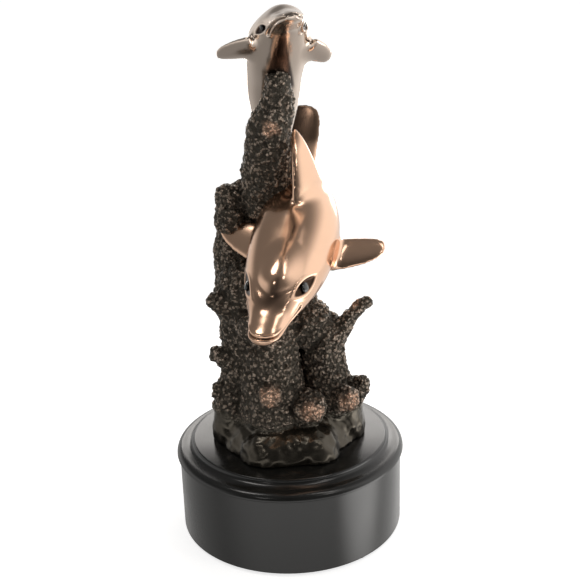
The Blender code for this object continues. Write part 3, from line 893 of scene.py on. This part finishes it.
mark_hollows(coral_shape, HOLLOW_REACH)
grainy = coral_shape.verts.layers.float.new("grainy")
rubbed = coral_shape.verts.layers.float.new("rubbed")
foot = [vert for vert in coral_shape.verts if vert.co.z < CRUST_START * MM]
smooth_all(coral_shape, foot, FOOT_SMOOTHING)
for vert in coral_shape.verts:
    crust_edge = CRUST_START + wandering(vert.co, *CRUST_WANDER)
    vert[grainy] = rise(vert.co.z / MM, crust_edge - CRUST_FADE, crust_edge + CRUST_FADE)
    ragged = wandering(vert.co, *RUBBED_WANDER)
    vert[rubbed] = max(
        1.0 - rise((vert.co / MM - Vector(middle)).length + ragged, RUBBED_CORE * reach, reach)
        for *middle, reach in RUBBED_SPOTS
    )
coral = new_piece("coral_reef", coral_shape, coral_bronze)
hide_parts("dolphin_casting")

# %% [markdown]
# ## Dolphins
#
# A dolphin is lofted over its spine. The spine is a smooth curve that knows, at each share of its
# length, where it is and which way the back, the side and the tail lie. One table of body
# sections serves both dolphins: each has its own spine, girth, flippers and back fin.

# %% Spine
def catmull(p0, p1, p2, p3, t):
    """A point of the smooth curve that passes through p1 and p2."""
    return 0.5 * (
        2 * p1
        + (p2 - p0) * t
        + (2 * p0 - 5 * p1 + 4 * p2 - p3) * t * t
        + (3 * p1 - p0 - 3 * p2 + p3) * t * t * t
    )


class Spine:
    """A smooth curve from beak to tail, with the directions to the tail, back and side."""

    samples = 240
    reach = 4

    def __init__(self, stations):
        self.places = self.smooth([Vector(place) * MM for place, _ in stations])
        self.backs = self.smooth([Vector(back).normalized() for _, back in stations])
        self.distances = [0.0]
        for a, b in zip(self.places, self.places[1:]):
            self.distances.append(self.distances[-1] + (b - a).length)
        self.length = self.distances[-1]

    def smooth(self, points):
        """Samples of the smooth curve through the points."""
        row = [points[0] * 2 - points[1], *points, points[-1] * 2 - points[-2]]
        made = []
        for number in range(self.samples + 1):
            along = number / self.samples * (len(points) - 1)
            index = min(int(along), len(points) - 2)
            made.append(catmull(*row[index : index + 4], along - index))
        return made

    def at(self, share):
        """The point there, with the directions to the tail, the back and the side."""
        target = share * self.length
        index = 0
        while index < self.samples - 1 and self.distances[index + 1] < target:
            index += 1
        start, end = self.distances[index : index + 2]
        part = (target - start) / (end - start)
        point = self.places[index].lerp(self.places[index + 1], part)
        before = self.places[max(index - self.reach, 0)]
        after = self.places[min(index + 1 + self.reach, self.samples)]
        tailward = (after - before).normalized()
        back = self.backs[index] + (self.backs[index + 1] - self.backs[index]) * part
        back = (back - tailward * back.dot(tailward)).normalized()
        return point, tailward, back, tailward.cross(back)


print("samples of a spine", Spine.samples)

# %% [markdown]
# Each station is a place on the dolphin's spine in millimetres, from the beak to the tail, and
# the way that its back faces there.

# %% Spines of the dolphins
LOWER_SPINE = Spine([
    ((-12.0, -78.0, 138.5), (-0.10, -0.45, 0.88)),
    ((-4.8, -52.0, 149.5), (-0.16, -0.45, 0.88)),
    ((2.6, -28.0, 162.5), (-0.16, -0.45, 0.88)),
    ((8.6, -6.0, 175.0), (-0.12, -0.38, 0.90)),
    ((10.6, 18.0, 183.5), (-0.06, -0.22, 0.96)),
    ((9.5, 40.0, 185.0), (-0.28, -0.08, 0.95)),
    ((6.5, 56.0, 188.0), (-0.75, 0.05, 0.66)),
    ((5.5, 67.0, 190.8), (-0.95, 0.15, 0.25)),
    ((8.5, 76.0, 192.2), (-0.85, 0.50, 0.10)),
    ((15.5, 82.5, 190.4), (-0.62, 0.77, 0.10)),
])
UPPER_SPINE = Spine([
    ((7.5, -58.0, 283.0), (-0.06, 0.24, 0.97)),
    ((4.0, -34.0, 278.5), (-0.06, 0.30, 0.95)),
    ((0.6, -12.0, 265.5), (-0.04, 0.45, 0.88)),
    ((-1.4, 8.0, 249.5), (-0.02, 0.65, 0.75)),
    ((-2.2, 23.0, 230.5), (0.0, 0.80, 0.60)),
    ((-2.8, 32.0, 210.0), (0.0, 0.93, 0.36)),
    ((-2.8, 37.0, 190.0), (0.0, 0.97, 0.20)),
    ((-2.4, 44.0, 172.0), (0.0, 0.93, 0.36)),
    ((-1.9, 55.0, 157.0), (0.0, 0.80, 0.60)),
])
print("lengths in mm", round(LOWER_SPINE.length / MM), round(UPPER_SPINE.length / MM))

# %% [markdown]
# Each row of the table is a share of the dolphin's length, and the half width, the height above
# the spine and the depth below it, as shares of the length too. A cubic curve runs between the
# rows. The girth turns smoothly from the head's to the body's.

# %% Body sections
BODY_STATIONS = [
    (0.000, 0.010, 0.006, 0.006),
    (0.008, 0.026, 0.011, 0.012),
    (0.030, 0.040, 0.018, 0.019),
    (0.065, 0.048, 0.025, 0.025),
    (0.100, 0.055, 0.034, 0.031),
    (0.130, 0.065, 0.053, 0.038),
    (0.170, 0.081, 0.072, 0.052),
    (0.230, 0.099, 0.086, 0.072),
    (0.300, 0.112, 0.095, 0.089),
    (0.380, 0.117, 0.100, 0.098),
    (0.470, 0.112, 0.096, 0.096),
    (0.570, 0.093, 0.085, 0.083),
    (0.670, 0.066, 0.070, 0.064),
    (0.770, 0.042, 0.055, 0.046),
    (0.860, 0.025, 0.042, 0.033),
    (0.930, 0.017, 0.026, 0.020),
    (0.965, 0.012, 0.010, 0.010),
]
NAPE = 0.20
CHEST = 0.42
FULLNESS = 2.15
LOWER_GIRTH = (1.04, 1.06)
UPPER_GIRTH = (0.84, 0.69)


def stoutness(share, girth):
    """The girth there, which turns from the head's to the body's."""
    return girth[0] + (girth[1] - girth[0]) * rise(share, NAPE, CHEST)


def section(share, girth, size):
    """Half width, height and depth of the body at that share of its length."""
    last = len(BODY_STATIONS) - 1
    index = 0
    while index < last - 1 and BODY_STATIONS[index + 1][0] <= share:
        index += 1
    rows = [BODY_STATIONS[min(max(index + step, 0), last)] for step in (-1, 0, 1, 2)]
    span = rows[2][0] - rows[1][0]
    part = min(max((share - rows[1][0]) / span, 0.0), 1.0)
    square, cube = part * part, part ** 3
    measures = []
    for column in (1, 2, 3):
        slopes = [
            (b[column] - a[column]) / max(b[0] - a[0], 1e-6) * span
            for a, b in ((rows[0], rows[2]), (rows[1], rows[3]))
        ]
        value = rows[1][column] * (2 * cube - 3 * square + 1)
        value += slopes[0] * (cube - 2 * square + part)
        value += rows[2][column] * (3 * square - 2 * cube) + slopes[1] * (cube - square)
        measures.append(value * stoutness(share, girth) * size)
    return measures


def superellipse(across, up, fullness):
    """Moves a point of the unit circle onto a fuller or leaner curve."""
    power = 2.0 / fullness
    return (
        math.copysign(abs(across) ** power, across),
        math.copysign(abs(up) ** power, up),
    )


chest = section(CHEST, LOWER_GIRTH, LOWER_SPINE.length)
print("lower chest in mm: half width, height, depth", [round(size / MM, 1) for size in chest])

# %% [markdown]
# Each section starts as a circle from the circle operator and is stretched to its own width,
# height and depth. Bridging neighbouring loops makes the skin, and the two ends are filled. A fin
# is lofted in the same way, over flat ellipses that get shorter towards its tip.

# %% Lofts
BODY_RINGS = 150
BODY_SIDES = 72
FIN_STEPS = 20
FIN_SIDES = 32
RING_CROWDING = 1.35
TIP_CHORD = 0.10
TIP_THICKNESS = 0.25
SWEEP = 1.6


def add_ring(shape, sides, place_point):
    """A loop of edges from the circle operator, each vertex moved by place_point(x, y)."""
    ring = bmesh.ops.create_circle(shape, segments=sides, radius=1.0)["verts"]
    for vert in ring:
        vert.co = place_point(vert.co.x, vert.co.y)
    return list({edge for vert in ring for edge in vert.link_edges})


def bridge(shape, loops):
    """Skins a row of loops and fills its two ends."""
    for before, after in zip(loops, loops[1:]):
        bmesh.ops.bridge_loops(shape, edges=before + after)
    for end in (loops[0], loops[-1]):
        bmesh.ops.holes_fill(shape, edges=end, sides=0)


def add_body(shape, spine, girth):
    """The body, with its rings crowded towards the beak, where the shape changes fastest."""
    first, last = BODY_STATIONS[0][0], BODY_STATIONS[-1][0]
    loops = []
    for number in range(BODY_RINGS + 1):
        share = first + (last - first) * (number / BODY_RINGS) ** RING_CROWDING
        width, above, below = section(share, girth, spine.length)
        point, _, back, side = spine.at(share)

        def on_section(x, y):
            across, up = superellipse(x, y, FULLNESS)
            return point + side * (width * across) + back * ((above if up > 0 else below) * up)

        loops.append(add_ring(shape, BODY_SIDES, on_section))
    bridge(shape, loops)


def add_fin(shape, root, out, aft, length, chord, thickness, drift, fullness):
    """A fin that stands out from its root, with its trailing edge towards aft."""
    flat = out.cross(aft).normalized()
    loops = []
    for step in range(FIN_STEPS + 1):
        even = step / FIN_STEPS
        width = chord * (1.0 - (1.0 - TIP_CHORD) * even ** fullness)
        thick = thickness * (1.0 - (1.0 - TIP_THICKNESS) * even)
        middle = root + out * (length * math.sin(even * math.pi / 2)) + drift * even ** SWEEP
        loops.append(
            add_ring(
                shape, FIN_SIDES,
                lambda x, y: middle + aft * (width / 2 * x) + flat * (thick / 2 * y),
            )
        )
    bridge(shape, loops)


print("sides of a body's ring and of a fin's", BODY_SIDES, FIN_SIDES)

# %% [markdown]
# The sizes of the fins are shares of the dolphin's length too. A flipper's row says on which side
# it is (1 is the right, -1 the left) and where it stands, how far it points aft and down, by how
# many degrees its leading edge dips, and its length, chord, bend and fullness. A back fin's row
# gives its height, chord, thickness and turn. The lower dolphin's turns about the foot of its
# leading edge, because the tail behind it bends to the right. A fluke's row gives its place, its
# pitch and roll in degrees, how far ahead it starts and its bend.

# %% Measures of the fins
LOWER_FLIPPERS = [
    (1, 0.390, 0.26, 0.05, 16.0, 0.162, 0.100, 0.014, 2.2),
    (-1, 0.420, 0.36, 0.00, 24.0, 0.178, 0.125, 0.030, 1.5),
]
UPPER_FLIPPERS = [
    (1, 0.235, 0.55, 0.05, 0.0, 0.098, 0.108, 0.030, 1.5),
    (-1, 0.222, 0.45, -0.14, 0.0, 0.120, 0.108, 0.030, 1.5),
]
LOWER_DORSAL = (0.165, 0.165, 0.050, 0.45)
UPPER_DORSAL = (0.150, 0.135, 0.040, 0.00)
LOWER_FLUKE = (0.980, -30.0, -14.0, 0.020, 0.016)
UPPER_FLUKE = (0.945, 0.0, 0.0, 0.012, 0.024)
print("flippers", len(LOWER_FLIPPERS) + len(UPPER_FLIPPERS))

# %% [markdown]
# Each fin starts a little inside the body, so that the remesh can melt the two together.

# %% Fins
DORSAL_PLACE = 0.50
DORSAL_LEAN = 0.62
DORSAL_SUNK = 0.022
FLIPPER_ROOT = (0.78, 0.45)
FLIPPER_THICKNESS = 0.028
FLUKE_SUNK = 0.012
FLUKE_SPAN = 0.192
FLUKE_CHORD = 0.138
FLUKE_THICKNESS = 0.026
FLUKE_FULLNESS = 3.4


def add_dorsal(shape, spine, girth, height, chord, thickness, turn):
    """The back fin, turned to the side about the foot of its leading edge."""
    point, tailward, back, side = spine.at(DORSAL_PLACE)
    size = spine.length
    above = section(DORSAL_PLACE, girth, size)[1]
    aft = (tailward + side * turn).normalized()
    shift = (aft - tailward) * (chord * size / 2)
    root = point + back * (above - DORSAL_SUNK * size) + shift
    drift = tailward * (DORSAL_LEAN * height * size) - shift
    add_fin(shape, root, back, aft, height * size, chord * size, thickness * size, drift, 1.0)


def add_flipper(shape, spine, girth, hand, pose):
    """A flipper that stands out, aft and down, with its leading edge dipped by some degrees."""
    share, out_aft, out_down, dip, length, chord, bend, full = pose
    point, tailward, back, side = spine.at(share)
    size = spine.length
    width, _, below = section(share, girth, size)
    outwards, downwards = FLIPPER_ROOT
    root = point + side * (hand * width * outwards) - back * (below * downwards)
    out = (side * hand + tailward * out_aft - back * out_down).normalized()
    aft = (tailward - out * tailward.dot(out)).normalized()
    aft.rotate(Quaternion(out, math.radians(dip * hand)))
    drift = aft * (bend * size)
    thickness = FLIPPER_THICKNESS * size
    add_fin(shape, root, out, aft, length * size, chord * size, thickness, drift, full)


def add_fluke(shape, spine, hand, place, pitch, roll, ahead, bend):
    """Half of the tail fluke, which the dolphin holds pitched and rolled by some degrees."""
    point, tailward, _, side = spine.at(place)
    size = spine.length
    tailward.rotate(Quaternion(side, math.radians(pitch)))
    side.rotate(Quaternion(tailward, math.radians(roll)))
    out = side * hand
    root = point - out * (FLUKE_SUNK * size) - tailward * (ahead * size)
    drift = tailward * (bend * size)
    span, chord, thickness = (part * size for part in (FLUKE_SPAN, FLUKE_CHORD, FLUKE_THICKNESS))
    add_fin(shape, root, out, tailward, span, chord, thickness, drift, FLUKE_FULLNESS)


print("height of the lower back fin in mm", round(LOWER_DORSAL[0] * LOWER_SPINE.length / MM, 1))

# %% [markdown]
# A voxel remesh melts body and fins into one skin. A modeller then presses wax into each hollow
# corner, and the loop below does the same: where a point lies deeper than those round it, it
# moves out towards their middle, so fillets grow and the round parts keep their shape. At the end
# the fillets are smoothed. The front of the beak is left out, because no fin stands there.

# %% Skins
SKIN_VOXEL = 0.75
SKIN_SMOOTHING = 7
FILLET_ROUNDS = 60
FILLET_START = 0.10
FILLET_SMOOTHING = 6
FILLET_STEP = 0.7
HOLLOW_LIMIT = 0.004


def fill_corners(shape, verts, rounds):
    """Fills hollow corners among those vertices with fillets."""
    around = {vert: [edge.other_vert(vert) for edge in vert.link_edges] for vert in verts}
    filled = set()
    for _ in range(rounds):
        shape.normal_update()
        moved = {}
        for vert, others in around.items():
            middle = sum((other.co for other in others), Vector()) / len(others)
            if (middle - vert.co).dot(vert.normal) > HOLLOW_LIMIT * MM:
                moved[vert] = vert.co.lerp(middle, FILLET_STEP)
        for vert, place in moved.items():
            vert.co = place
            filled.add(vert)
    smooth_all(shape, list(filled), FILLET_SMOOTHING)


def dolphin_skin(name, spine, girth, flippers, dorsal, fluke):
    """The whole dolphin as one closed skin, with fillets where its fins stand."""
    shape = bmesh.new()
    add_body(shape, spine, girth)
    add_dorsal(shape, spine, girth, *dorsal)
    for hand, *pose in flippers:
        add_flipper(shape, spine, girth, hand, pose)
        add_fluke(shape, spine, hand, *fluke)
    bmesh.ops.recalc_face_normals(shape, faces=shape.faces)
    shape = remeshed(shape, name, SKIN_VOXEL)
    smooth_all(shape, shape.verts, SKIN_SMOOTHING)
    point, tailward, *_ = spine.at(FILLET_START)
    behind_beak = [vert for vert in shape.verts if (vert.co - point).dot(tailward) > 0]
    fill_corners(shape, behind_beak, FILLET_ROUNDS)
    return shape


lower_skin = dolphin_skin(
    "lower_rough", LOWER_SPINE, LOWER_GIRTH, LOWER_FLIPPERS, LOWER_DORSAL, LOWER_FLUKE
)
upper_skin = dolphin_skin(
    "upper_rough", UPPER_SPINE, UPPER_GIRTH, UPPER_FLIPPERS, UPPER_DORSAL, UPPER_FLUKE
)
print("skin faces", len(lower_skin.faces), len(upper_skin.faces))

# %% [markdown]
# ## Faces
#
# A dolphin's face is a round forehead, called the melon, with a crease where it meets the beak, a
# mouth line along the beak, and an almond-shaped eye behind the corner of the mouth. Places on
# the skin are given as a share of the length and an angle about the spine: 0 is the right side,
# 90 the back and 180 the left side.

# %% Places on the skin
RAY_HEIGHT = 6.0
ROW_SPACING = 0.3


def skin_point(spine, girth, share, degrees):
    """The point of the body there, and the way the skin faces."""
    width, above, below = section(share, girth, spine.length)
    point, _, back, side = spine.at(share)
    angle = math.radians(degrees)
    across, up = superellipse(math.cos(angle), math.sin(angle), FULLNESS)
    height = above if up > 0 else below
    facing = side * (across / width) + back * (up / height)
    return point + side * (width * across) + back * (height * up), facing.normalized()


def on_mesh(skin, spine, girth, share, degrees):
    """The same place on the mesh itself, found by a ray from outside."""
    point, facing = skin_point(spine, girth, max(share, 0.0), degrees)
    place = skin.ray_cast(point + facing * (RAY_HEIGHT * MM), -facing)[0]
    return place or point, facing


def row_on_mesh(skin, spine, girth, stations):
    """Points set close together on the mesh along a row of (share, degrees) places."""
    row = [Vector(station) for station in stations]
    row = [row[0] * 2 - row[1], *row, row[-1] * 2 - row[-2]]
    points = []
    for index in range(len(row) - 3):
        start, end = (on_mesh(skin, spine, girth, *row[index + step])[0] for step in (1, 2))
        count = max(2, math.ceil((end - start).length / (ROW_SPACING * MM)))
        for number in range(count):
            place = catmull(*row[index : index + 4], number / count)
            points.append(on_mesh(skin, spine, girth, *place)[0])
    return points


def point_tree(points):
    """A tree that finds the nearest of the points quickly."""
    tree = kdtree.KDTree(len(points))
    for index, place in enumerate(points):
        tree.insert(place, index)
    tree.balance()
    return tree


def skin_places(shape, spine, last_share):
    """Each vertex in front of that share of the length, with its share, angle and radius in mm."""
    tree = point_tree(spine.places)
    for vert in shape.verts:
        index = tree.find(vert.co)[1]
        share = spine.distances[index] / spine.length
        if share > last_share:
            continue
        point, tailward, _, _ = spine.at(share)
        share += (vert.co - point).dot(tailward) / spine.length
        point, _, back, side = spine.at(min(max(share, 0.0), 1.0))
        offset = (vert.co - point) / MM
        degrees = math.degrees(math.atan2(offset.dot(back), offset.dot(side)))
        yield vert, share, degrees, offset.length


tip = skin_point(LOWER_SPINE, LOWER_GIRTH, 0.0, 90.0)[0]
print("tip of the lower beak in mm", [round(value / MM, 1) for value in tip])

# %% [markdown]
# Each feature of the face answers for one point of the skin: how far it lifts or sinks there in
# millimetres, and how dark the patina is. It unpacks its row of numbers by name. The reach of a
# feature is 1 about where it ends, and a smooth hump makes each crease, lid and lip.

# %% Features of the face
MELON_SLOPE = (0.15, 1.10)
CREASE_PLACE = 1.12
CREASE_SPREAD = 0.30
CREASE_END = (-0.7, 0.2)
SOCKET_DEPTH = 0.8
SOCKET_SLOPE = (0.5, 1.05)
SOCKET_DARK = (0.80, 1.05)
LID_HEIGHT = 0.18
LID_PLACE = 1.25
LID_SPREAD = 0.22
LIP_SHARE = 0.35
LIP_PLACE = 2.6
LIP_SPREAD = 1.1
GROOVE_DARK = 0.9
GROOVE_DARK_SPREAD = 0.8


def hump(value, middle, spread):
    """A smooth hump that is 1 at its middle."""
    return math.exp(-(((value - middle) / spread) ** 2))


def turned_by(degrees, middle):
    """The angle from the middle to those degrees, between -180 and 180."""
    return (degrees - middle + 180.0) % 360.0 - 180.0


def melon_at(melon, share, degrees):
    """The round forehead, and the crease in front of it and at its sides."""
    place, front, rear, middle, half_width, height, crease = melon
    along = (share - place) / (front if share < place else rear)
    across = turned_by(degrees, middle) / half_width
    reach = math.hypot(along, across)
    lift = height * (1.0 - rise(reach, *MELON_SLOPE))
    groove = hump(reach, CREASE_PLACE, CREASE_SPREAD) * (1.0 - rise(along, *CREASE_END))
    return lift - crease * groove, 0.0


def socket_at(eye, spine, share, degrees, radius):
    """An almond-shaped eye socket with a fine lid round it."""
    middle_share, middle, tilt, half_length, half_height = eye
    x = (share - middle_share) * spine.length / MM
    y = math.radians(turned_by(degrees, middle)) * radius
    lean = math.radians(tilt)
    x, y = x * math.cos(lean) + y * math.sin(lean), y * math.cos(lean) - x * math.sin(lean)
    x /= half_length
    y /= half_height * max(1.0 - 0.5 * x * x, 0.3)
    reach = math.hypot(x, y)
    lid = LID_HEIGHT * hump(reach, LID_PLACE, LID_SPREAD)
    lift = lid - SOCKET_DEPTH * (1.0 - rise(reach, *SOCKET_SLOPE))
    return lift, 1.0 - rise(reach, *SOCKET_DARK)


def groove_at(distance, width, depth):
    """A fine groove with soft lips."""
    lift = LIP_SHARE * depth * hump(distance, LIP_PLACE * width, LIP_SPREAD * width)
    dark = GROOVE_DARK * hump(distance, 0.0, GROOVE_DARK_SPREAD * width)
    return lift - depth * hump(distance, 0.0, width), dark


print("a mouth line's depth and dark at its middle", groove_at(0.0, 0.5, 0.9))

# %% [markdown]
# The painted dark reflection, a wedge on the throat, and the soft spots, which swell, flatten or
# paint shade on the skin, work on the same two numbers: the share of the length and the angle.

# %% Throat and soft spots
THROAT_EDGE = 3.0
THROAT_START_FADE = 0.01
THROAT_END_FADE = 0.05


def painted_throat_reflection(throat, share, degrees):
    """Painted dark reflection on the throat, in a wedge that widens tailwards from the chin."""
    start, end, middle, half_width, turn, spread, depth = throat
    aft = share - start
    off_middle = abs(turned_by(degrees, middle + turn * aft))
    edge = half_width + spread * aft
    across = 1.0 - rise(off_middle, edge - THROAT_EDGE, edge + THROAT_EDGE)
    begun = rise(share, start - THROAT_START_FADE, start + THROAT_START_FADE)
    return depth * across * begun * (1.0 - rise(share, end - THROAT_END_FADE, end))


def soft_spots(spots, share, degrees):
    """The sum of soft spots there: each has a place, reach, middle angle, spread and height."""
    total = 0.0
    for place, reach, middle, spread, height in spots:
        total += height * hump(share, place, reach) * hump(turned_by(degrees, middle), 0.0, spread)
    return total


print("a spot's height at its middle", soft_spots([(0.2, 0.05, 90.0, 15.0, 0.8)], 0.2, 90.0))

# %% [markdown]
# Carving asks every feature about every point of the head. The skin is made finer first where the
# mouth and the eyes come. The attribute patina_and_painted_shade keeps how dark the patina and the
# painted shade are.

# %% Carving
FACE_END = 0.46
FINE_AT_MOUTH = 2.2
FINE_AT_EYES = 1.25


def refine(shape, near):
    """Makes the mesh finer where near(vertex) is true."""
    chosen = {vert for vert in shape.verts if near(vert)}
    edges = [edge for edge in shape.edges if edge.verts[0] in chosen and edge.verts[1] in chosen]
    made = bmesh.ops.subdivide_edges(shape, edges=edges, cuts=1, use_grid_fill=True)
    verts = {item for item in made["geom_inner"] if isinstance(item, bmesh.types.BMVert)}
    smooth_all(shape, list(verts), 1)


def carve_face(shape, spine, girth, melon, swells, mouth, eyes, shades=(), throat=None):
    """Carves the melon, the mouth and the eye sockets, and marks where the patina and the painted
    shade are dark.
    """
    skin = BVHTree.FromBMesh(shape)
    row, width, depth = mouth
    line = point_tree(row_on_mesh(skin, spine, girth, row))
    middles = [on_mesh(skin, spine, girth, share, degrees)[0] for share, degrees, *_ in eyes]

    def fine(vert):
        if line.find(vert.co)[2] < FINE_AT_MOUTH * MM:
            return True
        sizes = (FINE_AT_EYES * eye[3] * MM for eye in eyes)
        return any((vert.co - middle).length < size for middle, size in zip(middles, sizes))

    refine(shape, fine)
    dark = shape.verts.layers.float.new("patina_and_painted_shade")
    shape.normal_update()
    for vert, share, degrees, radius in list(skin_places(shape, spine, FACE_END)):
        told = [melon_at(melon, share, degrees)]
        told += [socket_at(eye, spine, share, degrees, radius) for eye in eyes]
        told.append(groove_at(line.find(vert.co)[2] / MM, width, depth))
        lift = sum(part[0] for part in told)
        lift += soft_spots(swells, share, degrees)
        vert.co += vert.normal * (lift * MM)
        # Patina from the sockets and the mouth, painted shade from the shades, and a painted dark
        # reflection on the throat.
        vert[dark] = min(max(soft_spots(shades, share, degrees), *(part[1] for part in told)), 1.0)
        if throat:
            vert[dark] = max(vert[dark], painted_throat_reflection(throat, share, degrees))
    print("finer skin faces", len(shape.faces))


print("the face ends in mm from the beak", round(FACE_END * LOWER_SPINE.length / MM))

# %% [markdown]
# The lower dolphin looks down past the viewer. Its mouth line is a row of places that runs from
# the corner on its right round the beak's tip to the corner on its left. Two flats give the top
# of its head long soft highlights, and a low crest runs up to its back fin. Painted shade darkens
# the crease in front of the melon, and a painted dark reflection darkens the upper half of the
# tail's fluke.

# %% Lower face
LOWER_MELON = (0.192, 0.060, 0.120, 80.0, 39.0, 2.5, 0.9)
LOWER_FLATS = [(0.205, 0.045, 92.0, 17.0, -0.40), (0.200, 0.050, 56.0, 13.0, -0.30)]
LOWER_CREST = (0.420, 0.032, 90.0, 12.0, 0.80)
# Painted shade: the crease in front of the melon is darkened.
LOWER_SHADES = [(0.118, 0.028, 85.0, 50.0, 0.75)]
LOWER_MOUTH = [
    (0.148, 2), (0.131, -3), (0.109, -9), (0.075, -9), (0.045, 4), (0.023, 26), (0.012, 60),
    (0.010, 90), (0.012, 120), (0.023, 148), (0.045, 168), (0.075, 187), (0.109, 189),
    (0.131, 184), (0.148, 178),
]
LOWER_EYES = [(0.196, 22.0, -12.0, 9.0, 3.3), (0.190, 155.0, 12.0, 9.0, 3.3)]
carve_face(
    lower_skin, LOWER_SPINE, LOWER_GIRTH, LOWER_MELON, [*LOWER_FLATS, LOWER_CREST],
    (LOWER_MOUTH, 0.5, 0.9), LOWER_EYES, shades=LOWER_SHADES,
)

# Painted dark reflection: the upper half of the fluke is darkened.
FLUKE_SHADE = 0.80
FLUKE_START = (68.0, 77.0)
FLUKE_DARK_ABOVE = (196.0, 203.0)
patina_and_painted_shade = lower_skin.verts.layers.float["patina_and_painted_shade"]
for vert in lower_skin.verts:
    on_fluke = rise(vert.co.y / MM, *FLUKE_START) * rise(vert.co.z / MM, *FLUKE_DARK_ABOVE)
    vert[patina_and_painted_shade] = max(vert[patina_and_painted_shade], FLUKE_SHADE * on_fluke)

# %% [markdown]
# The upper dolphin lifts its beak towards the viewer, so its throat shows. A wedge of painted dark
# reflection runs from the chin down the throat.

# %% Upper face
UPPER_MELON = (0.190, 0.070, 0.110, 84.0, 40.0, 0.3, 0.0)
UPPER_FLATS = [(0.150, 0.100, 140.0, 30.0, -1.2)]
UPPER_MOUTH = [
    (0.143, -43), (0.120, -37), (0.092, -26), (0.060, -19), (0.030, -11), (0.010, 0), (0.006, 90),
    (0.010, 180), (0.030, 196), (0.060, 205), (0.099, 213), (0.125, 220), (0.145, 226),
]
UPPER_EYES = [(0.140, -10.0, 6.0, 5.2, 1.9), (0.150, 188.0, -4.0, 5.4, 1.9)]
# Painted dark reflection on the throat: start, end, middle angle, half width, turn, spread,
# darkness.
UPPER_PAINTED_THROAT = (0.030, 0.420, 254.4, 7.1, 66.0, 76.0, 0.93)
carve_face(
    upper_skin, UPPER_SPINE, UPPER_GIRTH, UPPER_MELON, UPPER_FLATS, (UPPER_MOUTH, 0.45, 0.9),
    UPPER_EYES, throat=UPPER_PAINTED_THROAT,
)

# %% [markdown]
# The eyeballs are separate glossy ovals that sit in the sockets, so they are made on the carved
# skins just before these become pieces of the scene.

# %% Eyes
LOWER_EYE_SIZES = (3.0, 2.4, 1.3)
UPPER_EYE_SIZES = (1.8, 1.4, 0.9)


def add_eyes(name, shape, spine, girth, eyes, sizes):
    """An eyeball in each socket: sizes are half its length, height and thickness."""
    skin = BVHTree.FromBMesh(shape)
    length, height, thickness = (size * MM for size in sizes)
    for hand, (share, degrees, *_) in zip(("right", "left"), eyes):
        middle, facing = on_mesh(skin, spine, girth, share, degrees)
        tailward = spine.at(share)[1]
        along = (tailward - facing * tailward.dot(facing)).normalized()
        across = facing.cross(along)
        stretch = Matrix((along * length, across * height, facing * thickness)).transposed()
        ball = bmesh.new()
        bmesh.ops.create_uvsphere(ball, u_segments=32, v_segments=20, radius=1.0)
        place = Matrix.Translation(middle) @ stretch.to_4x4()
        bmesh.ops.transform(ball, verts=ball.verts, matrix=place)
        bmesh.ops.recalc_face_normals(ball, faces=ball.faces)
        piece = new_piece(f"{name}_eye_{hand}", ball, eye_patina)
        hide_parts("dolphin_casting")


add_eyes("lower", lower_skin, LOWER_SPINE, LOWER_GIRTH, LOWER_EYES, LOWER_EYE_SIZES)
add_eyes("upper", upper_skin, UPPER_SPINE, UPPER_GIRTH, UPPER_EYES, UPPER_EYE_SIZES)

# %% [markdown]
# Both skins are finished now, so each becomes a piece that wears its metal.

# %% Dolphins
for name, skin, metal in (
    ("lower_dolphin", lower_skin, lower_bronze),
    ("upper_dolphin", upper_skin, upper_bronze),
):
    dolphin = new_piece(name, skin, metal)
    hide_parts("dolphin_casting")
